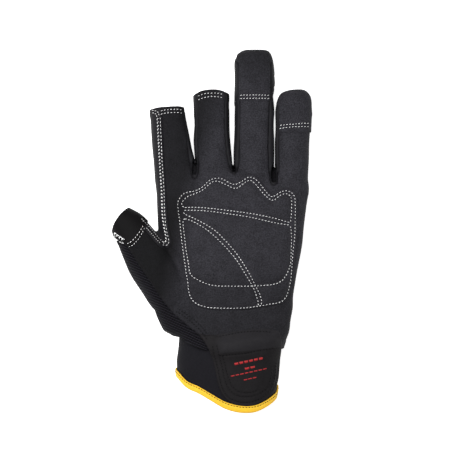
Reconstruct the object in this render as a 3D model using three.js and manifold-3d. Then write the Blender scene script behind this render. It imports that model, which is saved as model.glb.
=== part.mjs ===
// A left-hand work glove, lying palm up on its back, fingers along +Y and thumb towards -X.
// The thumb, index and middle fingers end in open hems, and the ring and little fingers are whole.
// Millimetres, +Z up. The origin is the middle of the glove's footprint, on the surface it lies on.
import * as THREE from "three";
import { mergeVertices } from "three/addons/utils/BufferGeometryUtils.js";
import Module from "manifold-3d";

// Overall sizes
const GLOVE_LENGTH = 250;
const PALM_WIDTH = 103;
const PALM_DEPTH = 34;

// Cloth, leather and gaps
const WALL = 1.6;
const CUFF_WALL = 3;
const OVERLAY_WALL = 1.2;
const PATCH_WALL = 2.6;
const TAB_WALL = 1.4;
const FLEX_WALL = 2.8;
const BINDING_WALL = 1;
const GAP = 0.3;

// Fingers: the strips between them start this far in from each finger's side
const FINGER_WIDTH = 27;
const FINGER_DEPTH = 20;
const FINGER_LIFT = 3.5;
const FINGERTIP_ROUND = 13;
const STRIP_INSET = 3;
const SEAM_HEIGHT = 14;

// Thumb: a tube along its own slanted axis, cut open at THUMB_LENGTH from the palm's middle
const THUMB_LENGTH = 57;
const THUMB_WIDTH = 36;
const THUMB_DEPTH = 32;
const THUMB_HEIGHT = 18;
const THUMB_ANGLE_DEG = 144;

// The palm side of an open end reaches further than its middle by this
const HEM_SLANT = 2.3;
const HEM_CLEARANCE = 1;

// Cuff, with a lower edge that dips on the palm side, and its tape
const CUFF_WIDTH = 70;
const CUFF_DEPTH = 38;
const CUFF_FLOOR = WALL + GAP;
const CUFF_DIP = 26;
const BINDING_HEIGHT = 4.5;
const CUFF_LEFT = -0.345;
const CUFF_TOP = 0.219;
const CUFF_FLATTENED = 1.5;

// Sewn channels in the padded patch
const CHANNEL_WIDTH = 2.6;
const CHANNEL_FLOOR = 1.1;

// How square round sections are: 2 is an ellipse
const PALM_SQUARENESS = 2.5;
const TUBE_SQUARENESS = 2.2;
const FINGERTIP_POWER = 3;

// How finely round forms are faceted
const PALM_SIDES = 24;
const FINGER_SIDES = 16;
const THUMB_SIDES = 16;
const CUFF_SIDES = 28;
const TIP_STEPS = 4;

// How far a cutting prism or box reaches past the glove
const PAST = 20;
const TALL = 80;

// Sections of the hand from the finger gaps to the wrist. Along the glove as shares of its length
// from the cuff's lowest point, at the thumb side and the little-finger side; across as shares of
// the palm's width from the middle line; up as shares of the palm's depth.
const PALM_ROWS = [
  { thumbSide: 0.722, littleSide: 0.676, left: -0.345, right: 0.605, floor: 0.14, top: 0.52 },
  { thumbSide: 0.704, littleSide: 0.66, left: -0.381, right: 0.641, floor: 0.03, top: 0.69 },
  { thumbSide: 0.64, littleSide: 0.612, left: -0.378, right: 0.645, floor: -0.04, top: 0.83 },
  { thumbSide: 0.573, littleSide: 0.573, left: -0.369, right: 0.632, floor: -0.04, top: 0.9 },
  { thumbSide: 0.507, littleSide: 0.507, left: -0.362, right: 0.615, floor: -0.04, top: 0.94 },
  { thumbSide: 0.457, littleSide: 0.457, left: -0.336, right: 0.601, floor: -0.04, top: 0.97 },
  { thumbSide: 0.408, littleSide: 0.408, left: -0.329, right: 0.582, floor: -0.04, top: 1 },
  { thumbSide: 0.364, littleSide: 0.364, left: -0.362, right: 0.561, floor: -0.04, top: 1 },
  { thumbSide: 0.32, littleSide: 0.32, left: -0.409, right: 0.543, floor: -0.04, top: 1.01 },
  { thumbSide: 0.286, littleSide: 0.286, left: -0.389, right: 0.536, floor: -0.04, top: 1.04 },
  { thumbSide: 0.253, littleSide: 0.253, left: -0.358, right: 0.523, floor: -0.04, top: 1.09 },
  { thumbSide: 0.226, littleSide: 0.226, left: -0.322, right: 0.516, floor: -0.04, top: 1.15 },
  { thumbSide: 0.207, littleSide: 0.204, left: -0.248, right: 0.503, floor: -0.04, top: 1.22 },
  { thumbSide: 0.17, littleSide: 0.15, left: -0.246, right: 0.482, floor: -0.04, top: 1.28 },
];

// Each finger from its root in the palm to its tip or hem: its reach along the glove as a share of
// the glove's length, and at root, middle and tip its place across as a share of the palm's width
// from the middle line and its girth as a share of a finger's width.
const FINGERS = [
  {
    name: "index",
    reach: 0.833,
    open: true,
    root: { across: -0.243, girth: 0.934 },
    mid: { across: -0.262, girth: 0.992 },
    tip: { across: -0.298, girth: 0.886 },
  },
  {
    name: "middle",
    reach: 0.879,
    open: true,
    root: { across: 0.014, girth: 0.926 },
    mid: { across: 0.003, girth: 0.889 },
    tip: { across: -0.008, girth: 0.898 },
  },
  {
    name: "ring",
    reach: 0.994,
    open: false,
    root: { across: 0.282, girth: 1.043 },
    mid: { across: 0.286, girth: 1.032 },
    tip: { across: 0.289, girth: 1.002 },
  },
  {
    name: "little",
    reach: 0.882,
    open: false,
    root: { across: 0.526, girth: 0.817 },
    mid: { across: 0.541, girth: 0.88 },
    tip: { across: 0.545, girth: 0.917 },
  },
];
const FINGER_ROOT = 0.57;
const FINGER_DEPTHS = { root: 1.1, mid: 1.04, tip: 0.95 };
const FINGER_MIDDLE = 0.86;

// Where a strip's lines take their points, as shares of a finger's length and of a gap's half width
const STRIP_STATIONS = [0.42, 0.6, 0.8, 1];
const ROUND_STATIONS = [-0.85, -0.4, 0.4, 0.85];
const STRIP_BOTTOMS = { index: 0.643, middle: 0.655, ring: 0.626 };

// Where the thumb's axis starts in the palm: across as a share of the palm's width from the middle
// line, and along as a share of the glove's length
const THUMB_ROOT = [-0.28, 0.342];

// Sections of the thumb. Along its axis as shares of its length, the side step from that axis and
// the half width as shares of its width, half depth as a share of its depth, and lift as a share of
// its height.
const THUMB_ROWS = [
  { along: -0.3, step: -0.06, half: 0.36, deep: 0.4, lift: 0.94 },
  { along: -0.14, step: -0.04, half: 0.46, deep: 0.5, lift: 0.97 },
  { along: 0.04, step: 0.005, half: 0.51, deep: 0.53, lift: 1 },
  { along: 0.25, step: 0.113, half: 0.492, deep: 0.51, lift: 1 },
  { along: 0.5, step: 0.245, half: 0.455, deep: 0.46, lift: 1.02 },
  { along: 0.7, step: 0.37, half: 0.4, deep: 0.41, lift: 1.05 },
  { along: 0.84, step: 0.452, half: 0.335, deep: 0.37, lift: 1.08 },
  { along: 1, step: 0.515, half: 0.245, deep: 0.32, lift: 1.1 },
  { along: 1.15, step: 0.56, half: 0.2, deep: 0.28, lift: 1.1 },
];

// Sections of the cuff, along as shares of the glove's length, across as shares of the cuff's width
// from the glove's middle line, up as shares of the cuff's depth.
const CUFF_ROWS = [
  { along: 0.226, left: -0.31, right: 0.62, top: 0.9 },
  { along: 0.2, left: -0.322, right: 0.64, top: 0.975 },
  { along: 0.17, left: -0.332, right: 0.668, top: 1 },
  { along: 0.138, left: -0.345, right: 0.669, top: 1.01 },
  { along: 0.1, left: -0.345, right: 0.657, top: 1.01 },
  { along: 0.05, left: -0.343, right: 0.63, top: 1 },
  { along: -0.02, left: -0.34, right: 0.62, top: 1 },
];

// The cuff's lower edge on the palm side: across as shares of the cuff's width from its thumb side,
// and how far it dips as shares of the dip.
const CUFF_EDGE = [
  { across: 0, dip: 0 },
  { across: 0.1, dip: 0.34 },
  { across: 0.21, dip: 0.5 },
  { across: 0.33, dip: 0.69 },
  { across: 0.46, dip: 0.89 },
  { across: 0.58, dip: 0.985 },
  { across: 0.69, dip: 1 },
  { across: 0.79, dip: 0.96 },
  { across: 0.9, dip: 0.8 },
  { across: 0.97, dip: 0.63 },
  { across: 1, dip: 0.46 },
];

// The hand's lower edge over the cuff, from the thumb side to the little-finger side. From here on
// an outline point holds its place across as a share of the palm's width from the middle line, and
// along as a share of the glove's length.
const WRIST_EDGE = [
  [-0.4, 0.212],
  [-0.22, 0.209],
  [-0.15, 0.192],
  [-0.03, 0.174],
  [0.25, 0.17],
  [0.48, 0.176],
  [0.6, 0.18],
];

// The line where the knitted back meets the palm leather over the outer side of the thumb
const KNIT_LINE = [
  [-0.66, 0.476],
  [-0.58, 0.466],
  [-0.565, 0.455],
  [-0.514, 0.42],
  [-0.405, 0.352],
  [-0.302, 0.291],
  [-0.223, 0.26],
  [-0.095, 0.217],
  [-0.035, 0.19],
  [-0.01, 0.15],
];

// The inner edge of the strip that runs down the side of the index finger and up inside the thumb
const SIDE_STRIP_LINE = [
  [-0.372, 0.9],
  [-0.37, 0.774],
  [-0.362, 0.71],
  [-0.354, 0.672],
  [-0.34, 0.6],
  [-0.332, 0.54],
  [-0.318, 0.497],
  [-0.302, 0.474],
  [-0.325, 0.468],
  [-0.353, 0.482],
  [-0.402, 0.508],
  [-0.455, 0.53],
  [-0.487, 0.55],
  [-0.53, 0.575],
];

// The padded patch's outline, from its thumb-side top corner round the three waves
const PATCH_OUTLINE = [
  [-0.228, 0.576],
  [-0.213, 0.595],
  [-0.17, 0.608],
  [-0.108, 0.61],
  [-0.055, 0.625],
  [-0.02, 0.64],
  [0.03, 0.646],
  [0.09, 0.639],
  [0.16, 0.626],
  [0.205, 0.637],
  [0.25, 0.648],
  [0.3, 0.64],
  [0.335, 0.622],
  [0.37, 0.603],
  [0.4, 0.591],
  [0.44, 0.6],
  [0.49, 0.61],
  [0.54, 0.603],
  [0.557, 0.585],
  [0.557, 0.52],
  [0.547, 0.44],
  [0.53, 0.36],
  [0.51, 0.325],
  [0.465, 0.303],
  [0.38, 0.297],
  [0.24, 0.289],
  [0.03, 0.287],
  [-0.09, 0.297],
  [-0.14, 0.313],
  [-0.155, 0.34],
  [-0.17, 0.385],
  [-0.2, 0.47],
];

// Sewn channels across the patch: one under the waves and one that sweeps down from the thumb side
const PATCH_CHANNELS = [
  [
    [-0.19, 0.56],
    [-0.05, 0.558],
    [0.1, 0.55],
    [0.25, 0.54],
    [0.4, 0.525],
    [0.522, 0.513],
  ],
  [
    [-0.19, 0.542],
    [-0.08, 0.52],
    [0.02, 0.488],
    [0.12, 0.44],
    [0.2, 0.395],
    [0.265, 0.35],
    [0.31, 0.305],
  ],
];

// The leather tongue over the palm side of the cuff, and the padded band across its root
const TAB_OUTLINE = [
  [0.0, 0.208],
  [0.0, 0.175],
  [0.018, 0.145],
  [0.035, 0.11],
  [0.045, 0.085],
  [0.075, 0.052],
  [0.13, 0.036],
  [0.19, 0.0285],
  [0.25, 0.027],
  [0.305, 0.033],
  [0.35, 0.048],
  [0.39, 0.068],
  [0.41, 0.1],
  [0.425, 0.15],
  [0.43, 0.19],
  [0.4, 0.218],
  [0.25, 0.222],
  [0.1, 0.216],
];
const FLEX_OUTLINE = [
  [0.025, 0.207],
  [0.1, 0.211],
  [0.25, 0.219],
  [0.385, 0.217],
  [0.39, 0.183],
  [0.28, 0.172],
  [0.18, 0.167],
  [0.075, 0.164],
];

// The fingertip patches: how far down each finger they reach, as shares of the glove's length
const RING_PATCH_FROM = 0.865;
const LITTLE_PATCH_FROM = 0.787;

// The lower edge of the sleeve of leather round the thumb's end, from its inner to its outer side
const THUMB_CAP_LINE = [
  [-0.4, 0.54],
  [-0.45, 0.513],
  [-0.487, 0.48],
  [-0.52, 0.464],
  [-0.556, 0.456],
  [-0.585, 0.466],
  [-0.66, 0.483],
];

const COLOURS = {
  palm: 0x3f3e43,
  back: 0x2a2930,
  strip: 0x38363f,
  leather: 0x242428,
  cuff: 0x28272d,
  tape: 0xffd633,
};

const manifold = await Module();
manifold.setup();

// Places in millimetres from shares of the palm's width and the glove's length
const across = (share) => share * PALM_WIDTH;
const along = (share) => (share - 0.5) * GLOVE_LENGTH;
const placed = (outline) => outline.map(([x, y]) => new THREE.Vector2(across(x), along(y)));

// A closed three.js geometry as a solid that can be cut and joined
function solidOf(geometry) {
  const bare = geometry.clone();
  bare.deleteAttribute("normal");
  bare.deleteAttribute("uv");
  const merged = mergeVertices(bare, 1e-4);
  return new manifold.Manifold(
    new manifold.Mesh({
      numProp: 3,
      vertProperties: merged.getAttribute("position").array,
      triVerts: new Uint32Array(merged.index.array),
    }),
  );
}

// A solid back as a three.js geometry
function geometryOf(solid) {
  const mesh = solid.getMesh();
  const geometry = new THREE.BufferGeometry();
  geometry.setAttribute("position", new THREE.BufferAttribute(mesh.vertProperties, 3));
  geometry.setIndex(new THREE.BufferAttribute(mesh.triVerts, 1));
  geometry.computeVertexNormals();
  return geometry;
}

const joined = (solids) => solids.reduce((all, one) => all.add(one));

// A closed skin over rings of points with as many points each, fanned shut at both ends
function loft(rings) {
  const count = rings[0].length;
  const points = rings.flat();
  const faces = [];
  for (let row = 0; row < rings.length - 1; row++)
    for (let i = 0; i < count; i++) {
      const next = (i + 1) % count;
      const a = row * count + i;
      const b = row * count + next;
      faces.push(a, b, b + count, a, b + count, a + count);
    }
  for (const [row, turned] of [
    [0, true],
    [rings.length - 1, false],
  ]) {
    const middle = new THREE.Vector3();
    for (const point of rings[row]) middle.addScaledVector(point, 1 / count);
    points.push(middle);
    for (let i = 0; i < count; i++) {
      const a = row * count + i;
      const b = row * count + ((i + 1) % count);
      faces.push(...(turned ? [points.length - 1, b, a] : [points.length - 1, a, b]));
    }
  }
  const geometry = new THREE.BufferGeometry().setFromPoints(points);
  geometry.setIndex(faces);
  const solid = solidOf(geometry);
  return solid.volume() < 0 ? solidOf(flipped(geometry)) : solid;
}

function flipped(geometry) {
  const turned = geometry.clone();
  turned.setIndex(Array.from(geometry.index.array).reverse());
  return turned;
}

// A rounded-square point at a turn round a section: half sizes and squareness
function roundPoint(turn, halfWide, halfDeep, squareness) {
  const bend = (value) => Math.sign(value) * Math.abs(value) ** (2 / squareness);
  return [halfWide * bend(Math.cos(turn)), halfDeep * bend(Math.sin(turn))];
}

// An upright prism over a planform outline
function prism(points, from = -PAST, height = TALL) {
  const geometry = new THREE.ExtrudeGeometry(new THREE.Shape(points), {
    depth: height,
    bevelEnabled: false,
    steps: 1,
  });
  geometry.translate(0, 0, from);
  return solidOf(geometry);
}

// A line moved sideways, to its left when positive
function moved(line, by) {
  return line.map((point, i) => {
    const before = line[Math.max(i - 1, 0)];
    const after = line[Math.min(i + 1, line.length - 1)];
    const way = after.clone().sub(before).normalize();
    return new THREE.Vector2(point.x - way.y * by, point.y + way.x * by);
  });
}

// A closed outline grown outwards; its points run clockwise
function grown(outline, by) {
  const count = outline.length;
  return outline.map((point, i) => {
    const way = outline[(i + 1) % count].clone().sub(outline[(i + count - 1) % count]).normalize();
    return new THREE.Vector2(point.x - way.y * by, point.y + way.x * by);
  });
}

// A narrow band along a line
const band = (line, width) => [...moved(line, width / 2), ...moved(line, -width / 2).reverse()];

// Everything below a height
function below(height) {
  const size = 2 * GLOVE_LENGTH;
  const box = new THREE.BoxGeometry(size, size, TALL);
  box.translate(0, 0, height - TALL / 2);
  return solidOf(box);
}

// The value at a share of the way through root, middle and tip values
function through(root, mid, tip, share) {
  const rootPart = 2 * (share - 0.5) * (share - 1);
  const midPart = 4 * share * (1 - share);
  const tipPart = 2 * share * (share - 0.5);
  return root * rootPart + mid * midPart + tip * tipPart;
}

// Where a finger is at a share of its length: its middle, half width and half depth
function fingerAt(finger, share) {
  const of = (key) => through(finger.root[key], finger.mid[key], finger.tip[key], share);
  const from = along(FINGER_ROOT);
  return {
    x: across(of("across")),
    y: from + share * (along(finger.reach) - from),
    z: SEAM_HEIGHT * FINGER_MIDDLE + FINGER_LIFT * share ** 2,
    halfWide: (FINGER_WIDTH / 2) * of("girth"),
    halfDeep: (FINGER_DEPTH / 2) * through(FINGER_DEPTHS.root, FINGER_DEPTHS.mid, FINGER_DEPTHS.tip, share),
  };
}

// A finger's form, grown by an offset. An open one runs past its hem, and a whole one is rounded.
function fingerForm(finger, offset) {
  const length = along(finger.reach) - along(FINGER_ROOT);
  const places = [0, 0.3, 0.65].map((share) => ({ share, part: 1 }));
  if (finger.open) {
    places.push({ share: 1, part: 1 });
    places.push({ share: 1 + PAST / length / 2, part: 1 });
  } else {
    const round = FINGERTIP_ROUND / length;
    for (let step = 0; step < TIP_STEPS; step++) {
      const reached = Math.sin((step / (TIP_STEPS - 0.6)) * (Math.PI / 2));
      const part = (1 - reached ** FINGERTIP_POWER) ** (1 / FINGERTIP_POWER);
      places.push({ share: 1 - round + round * reached, part, end: reached });
    }
    places.push({ share: 1, part: 0.3, end: 1 });
  }
  return loft(
    places.map(({ share, part, end = 0 }) => {
      const at = fingerAt(finger, share);
      return sectionRing(FINGER_SIDES, (turn) => {
        const halfWide = (at.halfWide + offset) * part;
        const halfDeep = (at.halfDeep + offset) * part;
        const [x, z] = roundPoint(turn, halfWide, halfDeep, TUBE_SQUARENESS);
        return new THREE.Vector3(at.x + x, at.y + offset * end, at.z + z);
      });
    }),
  );
}

function sectionRing(sides, pointAt) {
  return Array.from({ length: sides }, (_, i) => pointAt((i / sides) * 2 * Math.PI));
}

// The palm and back of the hand
function palmForm(offset) {
  return loft(
    PALM_ROWS.map((row, i) => {
      const left = across(row.left) - offset;
      const right = across(row.right) + offset;
      const floor = PALM_DEPTH * row.floor - offset;
      const top = PALM_DEPTH * row.top + offset;
      const end = i === 0 ? offset : 0;
      return sectionRing(PALM_SIDES, (turn) => {
        const [x, z] = roundPoint(turn, (right - left) / 2, (top - floor) / 2, PALM_SQUARENESS);
        const share = x / (right - left) + 0.5;
        const y = along(row.thumbSide + (row.littleSide - row.thumbSide) * share) + end;
        return new THREE.Vector3((left + right) / 2 + x, y, (floor + top) / 2 + z);
      });
    }),
  );
}

// The thumb's own directions: along it, and across it towards the index finger
const thumbTurn = THREE.MathUtils.degToRad(THUMB_ANGLE_DEG);
const thumbAlong = new THREE.Vector3(Math.cos(thumbTurn), Math.sin(thumbTurn), 0);
const thumbAcross = new THREE.Vector3(Math.sin(thumbTurn), -Math.cos(thumbTurn), 0);

function thumbPoint(length, side, height) {
  const point = new THREE.Vector3(across(THUMB_ROOT[0]), along(THUMB_ROOT[1]), height);
  return point.addScaledVector(thumbAlong, length).addScaledVector(thumbAcross, side);
}

function thumbForm(offset) {
  return loft(
    THUMB_ROWS.map((row) =>
      sectionRing(THUMB_SIDES, (turn) => {
        const halfWide = THUMB_WIDTH * row.half + offset;
        const halfDeep = THUMB_DEPTH * row.deep + offset;
        const [side, up] = roundPoint(turn, halfWide, halfDeep, TUBE_SQUARENESS);
        const height = THUMB_HEIGHT * row.lift + up;
        return thumbPoint(THUMB_LENGTH * row.along, THUMB_WIDTH * row.step + side, height);
      }),
    ),
  );
}

// A box past a slanted hem, the palm side being the longer one
function pastHem(middle, heading, width) {
  const slant = Math.atan2(HEM_SLANT, FINGER_DEPTH / 2);
  const box = new THREE.BoxGeometry(width, 2 * PAST, TALL);
  box.translate(0, PAST, 0);
  box.rotateX(-slant);
  box.rotateZ(heading - Math.PI / 2);
  box.translate(middle.x, middle.y, middle.z);
  return solidOf(box);
}

const thumbEnd = THUMB_ROWS.find((row) => row.along === 1);
const thumbHem = thumbPoint(
  THUMB_LENGTH - HEM_SLANT,
  THUMB_WIDTH * thumbEnd.step,
  THUMB_HEIGHT * thumbEnd.lift,
);
const hems = [
  ...FINGERS.filter((finger) => finger.open).map((finger) =>
    pastHem(fingerAt(finger, 1), Math.PI / 2, FINGER_WIDTH + 2 * HEM_CLEARANCE),
  ),
  pastHem(thumbHem, thumbTurn, THUMB_WIDTH),
];

// Everything past the hand's lower edge, moved down the cuff by an offset
function pastWrist(offset) {
  const line = placed(WRIST_EDGE).map((point) => new THREE.Vector2(point.x, point.y - offset));
  const outside = [
    new THREE.Vector2(PALM_WIDTH, -GLOVE_LENGTH),
    new THREE.Vector2(-PALM_WIDTH, -GLOVE_LENGTH),
  ];
  return prism([...line, ...outside]);
}

// The whole hand without the cuff, grown by an offset and flattened where it lies
function handForm(offset) {
  const fingers = FINGERS.map((finger) => fingerForm(finger, offset));
  return joined([palmForm(offset), thumbForm(offset), ...fingers]).subtract(below(-offset));
}

// The cuff's form, grown by an offset
function cuffForm(offset) {
  const form = loft(
    CUFF_ROWS.map((row) => {
      const left = CUFF_WIDTH * row.left - offset;
      const right = CUFF_WIDTH * row.right + offset;
      const floor = CUFF_FLOOR - CUFF_FLATTENED - offset;
      const top = CUFF_FLOOR + CUFF_DEPTH * row.top + offset;
      return sectionRing(CUFF_SIDES, (turn) => {
        const [x, z] = roundPoint(turn, (right - left) / 2, (top - floor) / 2, TUBE_SQUARENESS);
        return new THREE.Vector3((left + right) / 2 + x, along(row.along), (floor + top) / 2 + z);
      });
    }),
  );
  return form.subtract(below(CUFF_FLOOR - offset));
}

// Everything past the cuff's lower edge moved up by a distance: dipping on the palm side, straight
// and slanted on the back
function pastCuffEdge(up) {
  const start = along(0) + CUFF_DIP + up;
  const left = CUFF_WIDTH * CUFF_LEFT;
  const edge = CUFF_EDGE.map(
    (row) => new THREE.Vector2(left + CUFF_WIDTH * row.across, start - CUFF_DIP * row.dip),
  );
  const last = edge[edge.length - 1];
  const slope = last.clone().sub(edge[0]).divideScalar(CUFF_WIDTH).multiplyScalar(PAST);
  const ends = [edge[0].clone().sub(slope), last.clone().add(slope)];
  const outside = [ends[1], ends[0]].map((end) => new THREE.Vector2(end.x, -GLOVE_LENGTH));
  const middle = CUFF_FLOOR + CUFF_DEPTH / 2;
  const dipping = prism([ends[0], ...edge, ends[1], ...outside], middle, TALL);
  return dipping.add(prism([...ends, ...outside], middle - TALL, TALL));
}

// The hand's shell, open at its hems and wrist
const handShell = handForm(0).subtract(joined(hems)).subtract(pastWrist(0)).subtract(handForm(-WALL));

// The planform of the strip between two fingers: it runs up both fingers inside their sides, is
// parted along the middle of the gap past the shorter finger, and ends round below the gap
function stripRegion(leftFinger, rightFinger, bottom) {
  const insideOf = (finger, side) => {
    const length = along(finger.reach) - along(FINGER_ROOT);
    const reach = finger.open ? 1 + PAST / length : 1 - FINGERTIP_ROUND / 2 / length;
    return STRIP_STATIONS.map((part) => {
      const at = fingerAt(finger, part * reach);
      return new THREE.Vector2(at.x + side * (at.halfWide - STRIP_INSET), at.y);
    });
  };
  const leftLine = insideOf(leftFinger, 1);
  const rightLine = insideOf(rightFinger, -1);
  const low = new THREE.Vector2((leftLine[0].x + rightLine[0].x) / 2, along(bottom));
  const half = (rightLine[0].x - leftLine[0].x) / 2;
  const round = ROUND_STATIONS.map(
    (part) => new THREE.Vector2(low.x + half * part, low.y + half * (1 - Math.sqrt(1 - part ** 2))),
  );
  const [leftTop, rightTop] = [leftLine.at(-1), rightLine.at(-1)];
  const parting = (leftTop.x + rightTop.x) / 2;
  const upper = [new THREE.Vector2(parting, leftTop.y), new THREE.Vector2(parting, rightTop.y)];
  return [...leftLine, ...upper, ...rightLine.reverse(), ...round.reverse()];
}

const [index, middle, ring, little] = FINGERS;
const stripOutlines = {
  fourchette_index_middle: stripRegion(index, middle, STRIP_BOTTOMS.index),
  fourchette_middle_ring: stripRegion(middle, ring, STRIP_BOTTOMS.middle),
  fourchette_ring_little: stripRegion(ring, little, STRIP_BOTTOMS.ring),
};
const sideLine = placed(SIDE_STRIP_LINE);
const stripOutside = sideLine.at(-1).x - GAP;
stripOutlines.thumb_index_strip = [
  ...sideLine,
  new THREE.Vector2(stripOutside, sideLine.at(-1).y),
  new THREE.Vector2(stripOutside, sideLine[0].y),
];

const clockwise = (points) => (THREE.ShapeUtils.isClockWise(points) ? points : [...points].reverse());
const largest = (solid) => solid.decompose().sort((a, b) => b.volume() - a.volume())[0];

const pieces = {};
let rest = handShell;
for (const [name, outline] of Object.entries(stripOutlines)) {
  const region = clockwise(outline);
  pieces[name] = [largest(handShell.intersect(prism(region))), COLOURS.strip];
  rest = rest.subtract(prism(grown(region, GAP)));
}

// The knitted back takes everything below the seam height and the outer side of the thumb
const knitLine = placed(KNIT_LINE);
const knitRegion = clockwise([
  ...knitLine,
  new THREE.Vector2(-PALM_WIDTH, -GLOVE_LENGTH),
  new THREE.Vector2(-PALM_WIDTH, knitLine[0].y),
]);
const underSeam = below(SEAM_HEIGHT);
pieces.back_panel = [largest(rest.intersect(underSeam.add(prism(knitRegion)))), COLOURS.back];
pieces.palm_panel = [
  largest(rest.subtract(below(SEAM_HEIGHT + GAP)).subtract(prism(grown(knitRegion, GAP)))),
  COLOURS.palm,
];

// A layer sewn on the outside of the hand, over an outline
function overlay(form, outline, wall, from = SEAM_HEIGHT + GAP) {
  return form(GAP + wall).subtract(form(GAP)).intersect(prism(outline, from));
}

const fingertips = {
  ring_tip_patch: { finger: ring, from: RING_PATCH_FROM, outer: STRIP_INSET },
  little_tip_patch: { finger: little, from: LITTLE_PATCH_FROM, outer: -PAST },
};
for (const [name, { finger, from, outer }] of Object.entries(fingertips)) {
  const tip = fingerAt(finger, 1);
  const left = tip.x - tip.halfWide + STRIP_INSET;
  const right = tip.x + tip.halfWide - outer;
  const outline = [
    new THREE.Vector2(left, along(from)),
    new THREE.Vector2(right, along(from)),
    new THREE.Vector2(right, tip.y + PAST),
    new THREE.Vector2(left, tip.y + PAST),
  ];
  const form = (offset) => fingerForm(finger, offset);
  pieces[name] = [largest(overlay(form, outline, OVERLAY_WALL)), COLOURS.palm];
}

const capLine = placed(THUMB_CAP_LINE);
const capOutline = [
  ...capLine,
  new THREE.Vector2(-PALM_WIDTH, capLine.at(-1).y),
  new THREE.Vector2(-PALM_WIDTH, capLine[0].y + THUMB_WIDTH),
  new THREE.Vector2(capLine[0].x, capLine[0].y + THUMB_WIDTH),
];
const capTube = overlay(thumbForm, capOutline, OVERLAY_WALL, -PAST);
pieces.thumb_cap = [largest(capTube.subtract(joined(hems))), COLOURS.leather];

// The padded patch, sunk along its sewn channels
const channels = joined(PATCH_CHANNELS.map((line) => prism(band(placed(line), CHANNEL_WIDTH))));
const sunk = handForm(GAP + PATCH_WALL + GAP).subtract(handForm(GAP + CHANNEL_FLOOR)).intersect(channels);
const patch = overlay(handForm, placed(PATCH_OUTLINE), PATCH_WALL);
pieces.palm_patch = [largest(patch.subtract(sunk)), COLOURS.palm];

// The cuff, the tape round its edge and the leather tongue over it
const cuffShell = cuffForm(0).subtract(cuffForm(-CUFF_WALL));
const openTop = prism([
  new THREE.Vector2(-PALM_WIDTH, along(CUFF_TOP)),
  new THREE.Vector2(PALM_WIDTH, along(CUFF_TOP)),
  new THREE.Vector2(PALM_WIDTH, GLOVE_LENGTH),
  new THREE.Vector2(-PALM_WIDTH, GLOVE_LENGTH),
]);
pieces.cuff = [cuffShell.subtract(openTop).subtract(pastCuffEdge(BINDING_WALL + GAP)), COLOURS.cuff];
const tapeOuter = cuffForm(GAP + BINDING_WALL).subtract(cuffForm(-CUFF_WALL - GAP - BINDING_WALL));
const tapeHollow = cuffForm(GAP).subtract(cuffForm(-CUFF_WALL - GAP)).subtract(pastCuffEdge(BINDING_WALL));
pieces.cuff_binding = [
  tapeOuter.subtract(pastCuffEdge(0)).intersect(pastCuffEdge(BINDING_HEIGHT)).subtract(tapeHollow),
  COLOURS.tape,
];

const wholeForm = (offset) =>
  handForm(offset).subtract(pastWrist(offset)).add(cuffForm(offset).subtract(openTop));
const tabFloor = CUFF_FLOOR + CUFF_DEPTH / 2;
const tab = overlay(wholeForm, placed(TAB_OUTLINE), TAB_WALL, tabFloor);
const flex = overlay(wholeForm, placed(FLEX_OUTLINE), FLEX_WALL, tabFloor);
pieces.wrist_tab = [largest(tab.add(flex)), COLOURS.leather];

const glove = new THREE.Group();
for (const [name, [solid, colour]] of Object.entries(pieces)) {
  const material = new THREE.MeshStandardMaterial({ color: colour, roughness: 0.85, metalness: 0 });
  const mesh = new THREE.Mesh(geometryOf(solid), material);
  mesh.name = name;
  glove.add(mesh);
}

export default glove;
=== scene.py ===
# Looks of a left-hand work glove lying palm up: suede, knit, leather, tape and stitches.
# Lengths are millimetres until a mesh is made, and shares are of the named sizes as in the part.
import math
import bpy
import numpy as np
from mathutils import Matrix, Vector
from mathutils.bvhtree import BVHTree
from mathutils.kdtree import KDTree


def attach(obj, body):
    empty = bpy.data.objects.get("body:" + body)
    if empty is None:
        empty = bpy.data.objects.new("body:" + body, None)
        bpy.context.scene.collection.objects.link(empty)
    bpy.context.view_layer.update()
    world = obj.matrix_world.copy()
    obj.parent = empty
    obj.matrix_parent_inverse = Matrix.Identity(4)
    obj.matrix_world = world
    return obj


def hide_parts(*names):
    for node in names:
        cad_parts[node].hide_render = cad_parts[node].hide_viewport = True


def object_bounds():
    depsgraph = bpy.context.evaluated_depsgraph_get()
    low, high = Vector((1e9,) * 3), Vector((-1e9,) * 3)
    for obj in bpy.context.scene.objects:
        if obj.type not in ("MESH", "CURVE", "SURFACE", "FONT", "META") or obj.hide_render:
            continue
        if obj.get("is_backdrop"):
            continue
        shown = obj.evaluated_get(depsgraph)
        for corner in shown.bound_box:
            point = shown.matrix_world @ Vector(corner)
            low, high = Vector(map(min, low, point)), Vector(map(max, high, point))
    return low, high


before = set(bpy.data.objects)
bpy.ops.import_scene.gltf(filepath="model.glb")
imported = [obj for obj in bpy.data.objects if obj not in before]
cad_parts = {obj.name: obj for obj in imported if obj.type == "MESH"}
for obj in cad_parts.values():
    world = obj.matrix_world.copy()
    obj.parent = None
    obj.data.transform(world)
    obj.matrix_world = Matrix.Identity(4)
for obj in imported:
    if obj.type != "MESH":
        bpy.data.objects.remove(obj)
part_low, part_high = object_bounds()

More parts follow.
